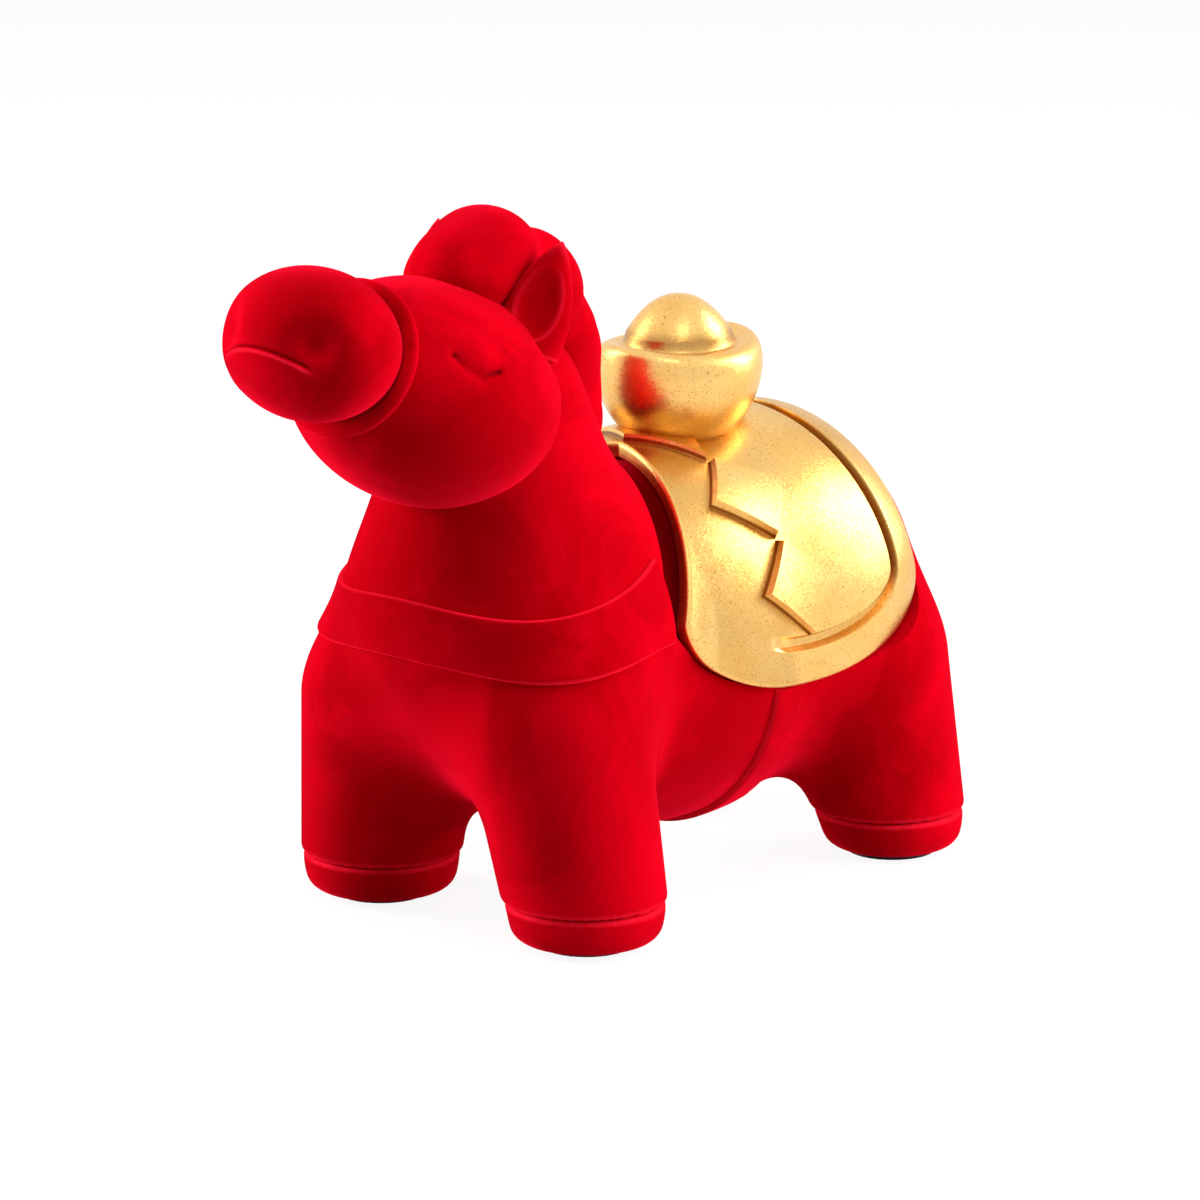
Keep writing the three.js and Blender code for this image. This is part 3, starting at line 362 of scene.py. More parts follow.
# A dark brown for painted shade in grooves, on steps and under the ingot.
GOLD_PAINTED_SHADE = (0.28, 0.10, 0.015, 1)
FLAKE_SIZE, FLAKE_TILT = 0.22, 0.1
SPECK_SIZE, SPECK_SPREAD = 0.3, (0.63, 0.71)
SMOOTHEST, ROUGHEST = 0.27, 0.37


def build_gilt():
    material, tree = new_material("gold paint")
    grain = grain_node(tree, 0.22, 9.0, 0.2).outputs
    place = add(tree, "ShaderNodeTexCoord").outputs["Object"]
    speck = add(tree, "ShaderNodeTexNoise",
                {"Vector": place, "Scale": 1 / (SPECK_SIZE * MM), "Detail": 1.0, "Roughness": 0.5})
    colour = mix_colour(tree, grain["Patch"], GOLD_LIGHT, GOLD_WARM)
    colour = mix_colour(tree, spread(tree, speck, *SPECK_SPREAD), colour, GOLD_SPECK)
    # Painted shade where the attribute says so.
    painted_shade = add(tree, "ShaderNodeAttribute", attribute_name="painted_shade").outputs["Fac"]
    colour = mix_colour(tree, painted_shade, colour, GOLD_PAINTED_SHADE)
    rough = spread(tree, grain["Grain"], 0.3, 0.7)
    plug(tree, rough, {"To Min": SMOOTHEST, "To Max": ROUGHEST})
    flake = add(tree, "ShaderNodeTexVoronoi", {"Vector": place, "Scale": 1 / (FLAKE_SIZE * MM)})
    lean = vector_calc(tree, "SUBTRACT", flake.outputs["Color"], (0.5, 0.5, 0.5))
    tilt = vector_calc(tree, "MULTIPLY", lean, (FLAKE_TILT,) * 3)
    slope = add(tree, "ShaderNodeNewGeometry").outputs["Normal"]
    tilted = vector_calc(tree, "NORMALIZE", vector_calc(tree, "ADD", slope, tilt))
    principled(tree, {"Base Color": colour, "Metallic": 1.0, "Roughness": rough, "Normal": tilted})
    return material


GILT = build_gilt()

# %% [markdown]
# The felt pads are dark and matt, with loose fibres. A coarse grain is enough for them.

# %% Felt
FELT_DARK = (0.012, 0.003, 0.004, 1)
FELT_FLUFF = (0.06, 0.018, 0.02, 1)


def build_felt():
    material, tree = new_material("dark felt")
    grain = grain_node(tree, 0.35, 4.0, 1.5).outputs
    share = calc(tree, "MULTIPLY", grain["Grain"], grain["Patch"])
    principled(tree, {"Base Color": mix_colour(tree, share, FELT_DARK, FELT_FLUFF),
                      "Roughness": 1.0, "Sheen Weight": 0.4,
                      "Normal": bump(tree, grain["Height"], 0.3, 0.8)})
    return material


FELT = build_felt()

# %% [markdown]
# The horse is one soft shape: barrel, chest, rump, neck and legs melt into each other as in
# modelling clay. A signed distance says for every point how far it lies outside the skin, and two
# distances are easy to melt: near the seam, the smaller one is pulled down a little. Here a form
# is simply a function from many points at once to their distances.


# %% Forms as distances
def egg(centre, size):
    centre, radii = np.array(centre, float), np.array(size, float) / 2

    def distance(points):
        scaled = (points - centre) / radii
        near = np.linalg.norm(scaled, axis=1)
        slope = np.linalg.norm(scaled / radii, axis=1)
        return near * (near - 1) / np.maximum(slope, 1e-9)
    return distance


def round_cone(start, end, radius_start, radius_end):
    """A cone with ball ends."""
    start, axis = np.array(start, float), np.array(end, float) - np.array(start, float)
    length_sq = axis @ axis
    taper = radius_start - radius_end
    slant_sq = length_sq - taper * taper

    def distance(points):
        from_start = points - start
        along = from_start @ axis
        beyond = along - length_sq
        aside_sq = ((from_start * length_sq - along[:, None] * axis) ** 2).sum(1)
        along_sq = along * along * length_sq
        beyond_sq = beyond * beyond * length_sq
        edge = np.sign(taper) * taper * taper * aside_sq
        side = (np.sqrt(aside_sq * slant_sq / length_sq) + along * taper) / length_sq - radius_start
        at_end = np.sqrt(aside_sq + beyond_sq) / length_sq - radius_end
        at_start = np.sqrt(aside_sq + along_sq) / length_sq - radius_start
        result = np.where(np.sign(along) * slant_sq * along_sq < edge, at_start, side)
        return np.where(np.sign(beyond) * slant_sq * beyond_sq > edge, at_end, result)
    return distance


def soft_min(a, b, blend):
    overlap = np.maximum(blend - np.abs(a - b), 0) / blend
    return np.minimum(a, b) - overlap * overlap * blend / 4


def melt(blend, *forms):
    def distance(points):
        result = forms[0](points)
        for form in forms[1:]:
            result = soft_min(result, form(points), blend)
        return result
    return distance


def keep(form, tool, rounding):
    """What of a form lies inside a tool, with the new edge rounded."""
    return lambda points: -soft_min(-form(points), -tool(points), rounding)


def above(height):
    return lambda points: height - points[:, 2]


def below(height):
    return lambda points: points[:, 2] - height


def normals_of(form, points, step=0.05):
    slope = np.empty_like(points)
    for axis in range(3):
        offset = np.zeros(3)
        offset[axis] = step
        slope[:, axis] = form(points + offset) - form(points - offset)
    return slope / np.maximum(np.linalg.norm(slope, axis=1, keepdims=True), 1e-9)


def leave(form, starts, ways):
    """Where rays that start inside a form leave it."""
    reach = np.ones(len(starts))
    while True:
        still = form(starts + ways * reach[:, None]) < 0
        if not still.any():
            break
        reach[still] += 1
    low, high = reach - 1, reach.copy()
    for _ in range(24):
        middle = (low + high) / 2
        within = form(starts + ways * middle[:, None]) < 0
        low, high = np.where(within, middle, low), np.where(within, high, middle)
    return starts + ways * high[:, None]


# %% [markdown]
# A form becomes a mesh by surface nets. Space is cut into small cells, each cell that the skin
# crosses gets one point, and each grid edge that crosses the skin gets one face. Then every point
# moves to the middle of its neighbours and is drawn back onto the skin, a few times over. The
# result has even four-sided faces, which shade smoothly.

# %% Skin a form
CORNERS = np.array([(n & 1, n >> 1 & 1, n >> 2) for n in range(8)])
CELL_EDGES = [(a, b) for a in range(8) for b in range(a + 1, 8)
              if np.abs(CORNERS[a] - CORNERS[b]).sum() == 1]


def skin(form, low, high, cell):
    """Points and four-sided faces of a form's skin, in millimetres."""
    low, high = np.array(low, float), np.array(high, float)
    counts = np.ceil((high - low) / cell).astype(int) + 1
    axes = [low[axis] + cell * np.arange(counts[axis]) for axis in range(3)]
    grid = np.stack(np.meshgrid(*axes, indexing="ij"), -1)
    values = form(grid.reshape(-1, 3)).reshape(counts)
    within = values < 0
    shell = within.copy()
    shell[1:-1, 1:-1, 1:-1] = False
    if shell.any():
        raise ValueError("the form reaches out of its grid")
    parts = [values[a:counts[0] - 1 + a, b:counts[1] - 1 + b, c:counts[2] - 1 + c]
             for a, b, c in CORNERS]
    filled = sum((part < 0).astype(np.int8) for part in parts)
    cells = np.argwhere((filled > 0) & (filled < 8))
    number = np.full(counts - 1, -1)
    number[tuple(cells.T)] = np.arange(len(cells))
    corner_values = np.stack([part[tuple(cells.T)] for part in parts], 1)
    total = np.zeros((len(cells), 3))
    crossings = np.zeros(len(cells))
    for a, b in CELL_EDGES:
        first, second = corner_values[:, a], corner_values[:, b]
        crossed = (first < 0) != (second < 0)
        share = np.where(crossed, first / np.where(crossed, first - second, 1), 0)
        point = CORNERS[a] + share[:, None] * (CORNERS[b] - CORNERS[a])
        total += np.where(crossed[:, None], point, 0)
        crossings += crossed
    points = low + cell * (cells + total / crossings[:, None])
    faces = []
    for axis in range(3):
        ahead = np.zeros(3, int)
        ahead[axis] = 1
        here = tuple(slice(1 - ahead[i], counts[i] - 1) for i in range(3))
        next_one = tuple(slice(1, counts[i] - 1 + ahead[i]) for i in range(3))
        at = np.argwhere(within[here] != within[next_one]) + 1 - ahead
        side = [(axis + 1) % 3, (axis + 2) % 3]
        ring = []
        for p, q in ((0, 0), (-1, 0), (-1, -1), (0, -1)):
            index = at.copy()
            index[:, side[0]] += p
            index[:, side[1]] += q
            ring.append(number[tuple(index.T)])
        ring = np.stack(ring, 1)
        flip = ~within[tuple(at.T)]
        ring[flip] = ring[flip][:, ::-1]
        faces.append(ring)
    faces = np.concatenate(faces)
    shares = np.bincount(faces.ravel(), minlength=len(points))[:, None]
    for _ in range(5):
        total = np.zeros_like(points)
        np.add.at(total, faces, points[faces].mean(1, keepdims=True))
        points = total / shares
        depth = form(points)
        points = points - np.clip(depth, -cell, cell)[:, None] * normals_of(form, points)
    return points, faces


# %% [markdown]
# A finished piece is a plain mesh in metres, in the frame's own place. It rides on the one body,
# takes its finish as a material, and stands for the solids that it dresses.


# %% Make a piece
def mesh_of(name, points, faces, smooth=True):
    mesh = bpy.data.meshes.new(name)
    placed = (np.asarray(points, float) + (0, SHIFT_Y, 0)) * MM
    mesh.from_pydata(placed.tolist(), [], np.asarray(faces).tolist()
                     if isinstance(faces, np.ndarray) else faces)
    mesh.update()
    if smooth:
        mesh.shade_smooth()
    return mesh


def finish_piece(name, mesh, material, slot, *nodes, sharp=None):
    """Turns a mesh into a piece of the figurine."""
    mesh.name = name
    mesh.materials.clear()
    mesh.materials.append(material)
    if sharp is not None:
        mesh.set_sharp_from_angle(angle=math.radians(sharp))
    piece = new_object(name, mesh)
    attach(piece, "root")
    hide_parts(*nodes)
    low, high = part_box(nodes[0])
    print(f"{name}: {len(mesh.polygons)} faces, solid is",
          [round((high[i] - low[i]) / MM, 1) for i in range(3)], "mm")
    return piece


def store(mesh, name, values):
    layer = mesh.attributes.new(name, "FLOAT", "POINT")
    layer.data.foreach_set("value", np.asarray(values, np.float32))


def own_points(mesh):
    """A mesh's points in millimetres, from the middle of the barrel."""
    flat = np.empty(3 * len(mesh.vertices), np.float32)
    mesh.vertices.foreach_get("co", flat)
    return flat.reshape(-1, 3) / MM - (0, SHIFT_Y, 0)


def store_bend(mesh, form, open_wall=None, step=0.6):
    """How far a form bends at a mesh's points, above zero at its edges and below in its creases.

    Points cut into the form get painted shade as dark as a crease; an open wall stays plain.
    """
    points = own_points(mesh)
    depth = form(points)
    around = sum(form(points + offset) + form(points - offset) for offset in np.eye(3) * step)
    cut_in = depth < -0.2
    # Cut-in points take the value of full painted shade.
    bend = np.where(cut_in, min(PAINTED_SHADE_BEND), (around - 6 * depth) / step ** 2)
    if open_wall is not None:
        bend[cut_in & open_wall(points)] = 0
    store(mesh, "bend", bend)


def velvet_piece(name, form, low, high, cell, *nodes):
    mesh = mesh_of(name, *skin(form, low, high, cell))
    store_bend(mesh, form)
    return finish_piece(name, mesh, VELVET, "velvet", *nodes)


# %% [markdown]
# The trunk is an egg-shaped barrel with a chest and a rump melted into it. The neck is a leaning
# cone, and each leg is a cone with ball ends. The sizes are those of the real castings.

# %% The horse's form
BARREL, BARREL_HEIGHT = (64.5, 100, 68.6), 44.6
CHEST, CHEST_INSET, CHEST_RISE = (59, 48, 58), 15.5, 4.8
RUMP, RUMP_INSET, RUMP_RISE = (64.5, 65, 64.5), 23.5, 4
NECK_BASE, NECK_TOP = (0, -36.7, BARREL_HEIGHT + 12.4), (0, -39.5, BARREL_HEIGHT + 48.4)
LEG_SPREAD, HIND_FOOT_Y = 25, 41
SOLE, HOOF_HEIGHT = 0.4, 8.2

chest_centre = (0, CHEST_INSET - BARREL[1] / 2, BARREL_HEIGHT + CHEST_RISE)
rump_centre = (0, BARREL[1] / 2 - RUMP_INSET, BARREL_HEIGHT + RUMP_RISE)
trunk = melt(8, egg((0, 0, BARREL_HEIGHT), BARREL), egg(chest_centre, CHEST),
             egg(rump_centre, RUMP))
neck = round_cone(NECK_BASE, NECK_TOP, 27.3, 16.5)


def leg(side, foot_y, radius, spread, lean, height, top_radius):
    return round_cone((side * spread, foot_y + lean, height),
                      (side * LEG_SPREAD, foot_y, radius / 2), top_radius, radius)


legs = [make for side in (1, -1) for make in (
    leg(side, FRONT_FOOT_Y, 14.5, 20, -2.2, 38.5, 16.3),
    leg(side, HIND_FOOT_Y, 13.5, 20.3, -5, 36, 17))]
whole = keep(melt(9, melt(12, trunk, neck), *legs), above(SOLE), 3)

# %% [markdown]
# The body stops at the joint line of the hooves, with a rounded rim that hangs over a little. On
# the real figurine that rim catches the light.

# %% Body
LEG_RIM = 1.2
body_form = keep(whole, above(HOOF_HEIGHT), LEG_RIM)
body = velvet_piece("velvet_body", body_form, (-42.4, -67.2, 5.8), (42.4, 62.4, 112), 0.8, "body")

# %% [markdown]
# Each hoof is the same form below the joint line, drawn in a little so that the leg's rim stands
# over it.

# %% Hooves
HOOF_INSET = 0.45
hoof_form = keep(lambda points: whole(points) + HOOF_INSET, below(HOOF_HEIGHT - 0.2), 0.8)
for end, foot_y in (("front", FRONT_FOOT_Y), ("rear", HIND_FOOT_Y)):
    for side, x in (("left", LEG_SPREAD), ("right", -LEG_SPREAD)):
        velvet_piece(f"velvet_{end}_{side}_hoof", hoof_form, (x - 17.1, foot_y - 17.1, -0.9),
                     (x + 17.1, foot_y + 17.1, 9.6), 0.6, f"{end}_{side}_hoof")

# %% [markdown]
# The head is an egg on the neck, pitched up by 24 degrees. The eyes are closed: a soft groove
# under a lid that swells a little. Both are small changes of the distance near a line or a spot.

# %% Head
HEAD, HEAD_PITCH = (47, 51, 40), 24
HEAD_CENTRE = (0, NECK_TOP[1] - 17.5, NECK_TOP[2] + 5.8)
LID_LINE = [(18.1, -68, 109.9), (19.9, -66.6, 107.8), (21.3, -64.3, 106.2), (21.8, -60.8, 106.4)]
LID_SWELL = (20.5, -63.6, 110.2)
pitch = math.radians(HEAD_PITCH)
TO_HEAD = np.array([[1, 0, 0], [0, math.cos(pitch), -math.sin(pitch)],
                    [0, math.sin(pitch), math.cos(pitch)]])


def to_head(points):
    """Points in the head's own frame, which is pitched up round its centre."""
    return (points - HEAD_CENTRE) @ TO_HEAD.T


def from_head(points):
    return np.asarray(points, float) @ TO_HEAD + HEAD_CENTRE


def near_line(points, line):
    """Distance to a line through some points, and the share along it."""
    best = np.full(len(points), 1e9)
    share = np.zeros(len(points))
    stops = np.array(line, float)
    for number, (start, end) in enumerate(zip(stops[:-1], stops[1:])):
        way = end - start
        t = np.clip((points - start) @ way / (way @ way), 0, 1)
        gap = np.linalg.norm(points - start - t[:, None] * way, axis=1)
        share = np.where(gap < best, (number + t) / (len(stops) - 1), share)
        best = np.minimum(gap, best)
    return best, share


def mirrored(points):
    """Points of the right side, carried over to the left."""
    return np.abs(points * (1, 0, 0)) + points * (0, 1, 1)


skull_egg = egg((0, 0, 0), HEAD)


def head_form(points):
    result = skull_egg(to_head(points))
    both = mirrored(points)
    gap, share = near_line(both, LID_LINE)
    width = 0.7 + 0.7 * np.sin(np.pi * np.clip(share * 0.9 + 0.1, 0, 1))
    groove = 0.42 * np.exp(-(gap / width) ** 2)
    swell = 0.45 * np.exp(-(np.linalg.norm(both - LID_SWELL, axis=1) / 3.6) ** 2)
    return result + groove - swell


head = velvet_piece("velvet_head", head_form, (-25.1, -84.1, 75), (25.1, -30, 122), 0.5, "head")

# %% [markdown]
# The muzzle is a smaller egg in front. A mouth line is pressed into it, the lower lip stands out
# a hair and catches the light, and the nostrils are wide soft dimples.

# %% Muzzle
MUZZLE, MUZZLE_REACH, MUZZLE_RISE = (34.6, 27.4, 27), 31, 0.7
MOUTH_DROP, MOUTH_DROOP, MOUTH_HALF = 4.3, 0.014, 10.5
NOSTRIL, NOSTRIL_DEPTH, NOSTRIL_SIZE = (10.8, -10.6, -1.2), 2.8, 3.7
muzzle_egg = egg((0, 0, 0), MUZZLE)


def smooth(value, low, high):
    t = np.clip((value - low) / (high - low), 0, 1)
    return t * t * (3 - 2 * t)


def muzzle_form(points):
    local = to_head(points) - (0, -MUZZLE_REACH, MUZZLE_RISE)
    result = muzzle_egg(local)
    aside = np.abs(local[:, 0])
    droop = MOUTH_DROOP * aside ** 2
    under = local[:, 2] + MOUTH_DROP + droop
    front = smooth(-local[:, 1], 2, 5) * (1 - smooth(aside, MOUTH_HALF - 2, MOUTH_HALF + 1))
    line = 0.2 * np.exp(-((under - 0.5) / 0.6) ** 2) * front
    lip = 0.4 * (1 - smooth(under, -0.5, 0.4)) * smooth(under, -7, -0.4) * front
    dimple_gap = np.linalg.norm(mirrored(local) - NOSTRIL, axis=1)
    return result + line - lip + NOSTRIL_DEPTH * np.exp(-(dimple_gap / NOSTRIL_SIZE) ** 2)


velvet_piece("velvet_muzzle", muzzle_form, (-19.1, -101, 95), (19.1, -62, 128), 0.4, "muzzle")

# %% [markdown]
# Four pieces follow a path or a surface: the noseband, the breast collar, the girth and the row of
# lozenges. Geometry Nodes make them, because one rule with named sizes then does the work, and a
# new size needs no new modelling. This helper runs a tree once and keeps the plain mesh.


# %% Run a geometry tree
def grow(name, tree, sizes):
    """The mesh that a geometry tree makes with these named inputs."""
    holder = new_object(f"{name}_maker", bpy.data.meshes.new(f"{name}_maker"))
    modifier = holder.modifiers.new("maker", "NODES")
    modifier.node_group = tree
    for item in tree.interface.items_tree:
        if item.in_out == "INPUT" and item.name in sizes:
            modifier[item.identifier] = sizes[item.name]
    depsgraph = bpy.context.evaluated_depsgraph_get()
    mesh = bpy.data.meshes.new_from_object(holder.evaluated_get(depsgraph), depsgraph=depsgraph)
    bpy.data.objects.remove(holder)
    return mesh


def close_tree(tree, result, geometry, material):
    """Every tree ends in real geometry with its material."""
    real = add(tree, "GeometryNodeRealizeInstances", {"Geometry": geometry})
    dressed = add(tree, "GeometryNodeSetMaterial",
                  {"Geometry": real, "Material": material})
    plug(tree, result, {"Geometry": dressed})


# %% [markdown]
# The noseband is a roll with a flat, rounded section that runs round the muzzle's root. A circle
# curve is made oval, and a section curve is swept along it.

# %% Noseband
NOSEBAND_SETBACK, NOSEBAND_LIFT = 9.5, 1.8
NOSEBAND_DEPTH, NOSEBAND_RADIAL = 2.5, 3.4


def build_roll_tree():
    tree, given, result = open_tree(
        "roll round a muzzle", "GeometryNodeTree",
        [("Geometry", GEOMETRY), ("Half width", FLOAT), ("Half height", FLOAT),
         ("Section across", FLOAT), ("Section along", FLOAT), ("Place", VECTOR),
         ("Turn", VECTOR), ("Material", MATERIAL)],
        [("Geometry", GEOMETRY)])
    sizes = given.outputs
    circle = add(tree, "GeometryNodeCurvePrimitiveCircle", {"Resolution": 180, "Radius": 1.0})
    oval_size = add(tree, "ShaderNodeCombineXYZ",
                    {"X": sizes["Half width"], "Y": sizes["Half height"], "Z": 1.0})
    oval = add(tree, "GeometryNodeTransform",
               {"Geometry": circle, "Scale": oval_size})
    ring = add(tree, "GeometryNodeCurvePrimitiveCircle", {"Resolution": 28, "Radius": 0.5})
    section_size = add(tree, "ShaderNodeCombineXYZ",
                       {"X": sizes["Section across"], "Y": sizes["Section along"], "Z": 1.0})
    section = add(tree, "GeometryNodeTransform",
                  {"Geometry": ring, "Scale": section_size})
    swept = add(tree, "GeometryNodeCurveToMesh",
                {"Curve": oval, "Profile Curve": section})
    placed = add(tree, "GeometryNodeTransform",
                 {"Geometry": swept, "Translation": sizes["Place"],
                  "Rotation": sizes["Turn"]})
    shaded = add(tree, "GeometryNodeSetShadeSmooth", {"Geometry": placed})
    close_tree(tree, result, shaded, sizes["Material"])
    return tree


noseband_y = NOSEBAND_SETBACK - MUZZLE_REACH
skull_share = math.sqrt(1 - (noseband_y / (HEAD[1] / 2)) ** 2)
noseband_place = from_head([(0, noseband_y, MUZZLE_RISE)])[0]
noseband = grow("noseband", build_roll_tree(), {
    "Half width": (HEAD[0] / 2 * skull_share + NOSEBAND_LIFT) * MM,
    "Half height": (HEAD[2] / 2 * skull_share + NOSEBAND_LIFT) * MM,
    "Section across": NOSEBAND_RADIAL * MM,
    "Section along": NOSEBAND_DEPTH * MM,
    "Place": in_frame(*noseband_place),
    "Turn": (math.pi / 2 - pitch, 0, 0),
    "Material": VELVET,
})
finish_piece("velvet_noseband", noseband, VELVET, "velvet", "noseband")

# %% [markdown]
# An ear is a pointed cone, flattened from front to back, with a scooped face whose rim is thin.
# Its own frame stands on the skull and leans outwards. The distance of a cone whose radius changes
# with the height is only roughly right, but the skin is drawn onto it in small steps anyway.

# %% Ears
EAR_HEIGHT, EAR_RADIUS, EAR_FLATNESS, EAR_EMBED = 16.6, 6.4, 0.62, 4
EAR_SPREAD, EAR_SETBACK = 13.4, 7.5
EAR_SHOULDER, EAR_POINT = 0.45, 0.3
SCOOP, SCOOP_HEIGHT = (8.8, 4.2, 15.3), 6.0
ear_share = (2 * EAR_SPREAD / HEAD[0]) ** 2 + (2 * EAR_SETBACK / HEAD[1]) ** 2
ear_root = from_head([(EAR_SPREAD, EAR_SETBACK, HEAD[2] / 2 * math.sqrt(1 - ear_share))])[0]
ear_up = Vector((0.1, 0.45, 1)).normalized()
ear_side = Vector((0.55, -0.83, 0)).cross(ear_up).normalized()
EAR_AXES = np.array([ear_side, ear_up.cross(ear_side).normalized(), ear_up])


def bezier(points, t):
    a, b, c, d = (np.array(point, float) for point in points)
    t = np.asarray(t)[:, None]
    return (1 - t) ** 3 * a + 3 * (1 - t) ** 2 * t * b + 3 * (1 - t) * t ** 2 * c + t ** 3 * d


ear_profile = bezier([(EAR_RADIUS, 0), (EAR_RADIUS, EAR_HEIGHT * EAR_SHOULDER),
                      (EAR_RADIUS * EAR_POINT, EAR_HEIGHT * (1 - EAR_POINT / 3)),
                      (0, EAR_HEIGHT)], np.linspace(0, 1, 60))
scoop_egg = egg((0, EAR_RADIUS * EAR_FLATNESS, SCOOP_HEIGHT), SCOOP)


def ear_form(points):
    local = (points - ear_root) @ EAR_AXES.T
    radius = np.interp(local[:, 2], ear_profile[:, 1], ear_profile[:, 0])
    radius = np.where(local[:, 2] > EAR_HEIGHT, EAR_HEIGHT - local[:, 2], radius)
    cone = (np.hypot(local[:, 0], local[:, 1] / EAR_FLATNESS) - radius) * EAR_FLATNESS
    cone = -soft_min(-cone, local[:, 2] + EAR_EMBED, 0.5)
    return -soft_min(-cone, scoop_egg(local), 0.7)


def mirror_form(form):
    return lambda points: form(points * (-1, 1, 1))


ear_low, ear_high = np.array((5, -50, 102)), np.array((27, -30, 128))
velvet_piece("velvet_left_ear", ear_form, ear_low, ear_high, 0.32, "left_ear")
velvet_piece("velvet_right_ear", mirror_form(ear_form), (-27, -50, 102), (-5, -30, 128), 0.32,
             "right_ear")

# %% [markdown]
# The mane is a row of tufts, melted together with less blend than the body so that each keeps its
# shape. On the nape, shallow combed grooves wind round each tuft's middle, from side to side. A
# soft valley parts the forelock on each side.

# %% Mane
FORELOCK = [(9, 19.6, (11, 9, 8.9)), (15.5, 22, (11, 9, 8.9))]
NAPE = [(9.5, 20, (10.4, 9, 11)), (15, 8.5, (9.45, 9, 12)), (17, -3, (8.5, 8, 12))]
HAIR_BLEND, LOCKS, LOCK_DEPTH = 3, 4, 0.35
tufts = [(HEAD_CENTRE, row) for row in FORELOCK] + [(NECK_TOP, row) for row in NAPE]
tuft_centres = np.array([(0, start[1] + aft, start[2] + up) for start, (aft, up, _) in tufts])
tuft_radii = np.array([radii for _, (_, _, radii) in tufts], float)
VALLEY_PLACE, VALLEY_DEPTH, VALLEY_SIZE = (8, -5.9, 2), 1.3, 4.2
valley = tuft_centres[:len(FORELOCK)].mean(0) + VALLEY_PLACE
mane_eggs = [egg(centre, 2 * radii) for centre, radii in zip(tuft_centres, tuft_radii)]
smooth_mane = melt(HAIR_BLEND, *mane_eggs)


def mane_form(points):
    distances = np.stack([form(points) for form in mane_eggs])
    weight = np.exp(-np.clip(distances - distances.min(0), 0, 20) / 1.2)
    weight /= weight.sum(0)
    locks = np.zeros(len(points))
    for number in range(len(FORELOCK), len(tufts)):
        offset = (points - tuft_centres[number]) / tuft_radii[number]
        turn = np.arctan2(offset[:, 2], offset[:, 1])
        reach = np.hypot(offset[:, 1], offset[:, 2])
        wave = 0.5 + 0.5 * np.cos(LOCKS * turn + 3 * offset[:, 0] ** 2 + number)
        locks += weight[number] * wave ** 3 * smooth(reach, 0.25, 0.7)
    from_valley = np.linalg.norm(mirrored(points) - valley, axis=1)
    dip = VALLEY_DEPTH * np.exp(-(from_valley / VALLEY_SIZE) ** 2)
    return smooth_mane(points) + LOCK_DEPTH * locks + dip


velvet_piece("velvet_mane", mane_form, (-13.5, -60.8, 73), (13.5, -11, 133.5), 0.45, "mane")

# %% [markdown]
# The tail isn't seen in the photograph. It hangs close behind the rump as one thick lock, with
# combed grooves down its length.

# %% Tail
TAIL_HEIGHT, TAIL_LENGTH, TAIL_BEND, TAIL_STAND_OFF = 55, 28, 0.6, 3


def rump_back(z):
    start = np.array([(0, rump_centre[1], z)], float)
    return leave(whole, start, np.array([(0.0, 1.0, 0.0)]))[0]


tail_root = rump_back(TAIL_HEIGHT)
tail_middle = rump_back(TAIL_HEIGHT - TAIL_LENGTH * TAIL_BEND) + (0, TAIL_STAND_OFF, 0)
tail_tip = tail_middle - (0, 0, TAIL_LENGTH * (1 - TAIL_BEND))
tail_cones = melt(HAIR_BLEND, round_cone(tail_root, tail_middle, 5.2, 7),
                  round_cone(tail_middle, tail_tip, 7, 3))


def tail_form(points):
    turn = np.arctan2(points[:, 0], points[:, 1] - tail_middle[1] + 3)
    wave = 0.25 * np.sin(points[:, 2] / 5.5)
    locks = (0.5 + 0.5 * np.cos(7 * (turn + wave))) ** 3
    return tail_cones(points) + 0.6 * locks


velvet_piece("velvet_tail", tail_form, tail_tip - (9, 14, 5), tail_root + (9, 12, 8), 0.5, "tail")

# %% [markdown]
# The collar and the girth lie on the skin. A tree shoots a ray from inside the horse for each
# point of the band, finds the skin, and lifts the point off it. It takes the skin's own smooth
# slope at the hit from an attribute, so the band shades as smoothly as the body.

# %% Skins to lay the bands on
def skin_object(name, form, low, high, cell):
    points, faces = skin(form, low, high, cell)
    mesh = mesh_of(name, points, faces)
    slope = mesh.attributes.new("slope", "FLOAT_VECTOR", "POINT")
    slope.data.foreach_set("vector", normals_of(form, points).astype(np.float32).ravel())
    return new_object(name, mesh)


whole_skin = skin_object("whole_skin", whole, (-42, -66, -2), (42, 62, 112), 1.5)
trunk_skin = skin_object("trunk_skin", trunk, (-36, -62, 6), (36, 62, 84), 1.0)


def build_lay_group():
    """Where a ray leaves a skin, lifted off it by a height."""
    tree, given, result = open_tree(
        "lay on a skin", "GeometryNodeTree",
        [("Skin", OBJECT), ("Start", VECTOR), ("Way", VECTOR), ("Height", FLOAT)],
        [("Point", VECTOR)])
    sizes = given.outputs
    target = add(tree, "GeometryNodeObjectInfo", {"Object": sizes["Skin"]})
    slope = add(tree, "GeometryNodeInputNamedAttribute", {"Name": "slope"},
                data_type="FLOAT_VECTOR")
    found = add(tree, "GeometryNodeRaycast",
                {"Target Geometry": target.outputs["Geometry"], "Attribute": slope,
                 "Source Position": sizes["Start"], "Ray Direction": sizes["Way"],
                 "Ray Length": 0.2}, data_type="FLOAT_VECTOR").outputs
    lift = add(tree, "ShaderNodeVectorMath",
               {0: vector_calc(tree, "NORMALIZE", found["Attribute"])}, operation="SCALE")
    plug(tree, lift, {"Scale": sizes["Height"]})
    point = vector_calc(tree, "ADD", found["Hit Position"], lift)
    plug(tree, result, {"Point": point})
    return tree


LAY = build_lay_group()

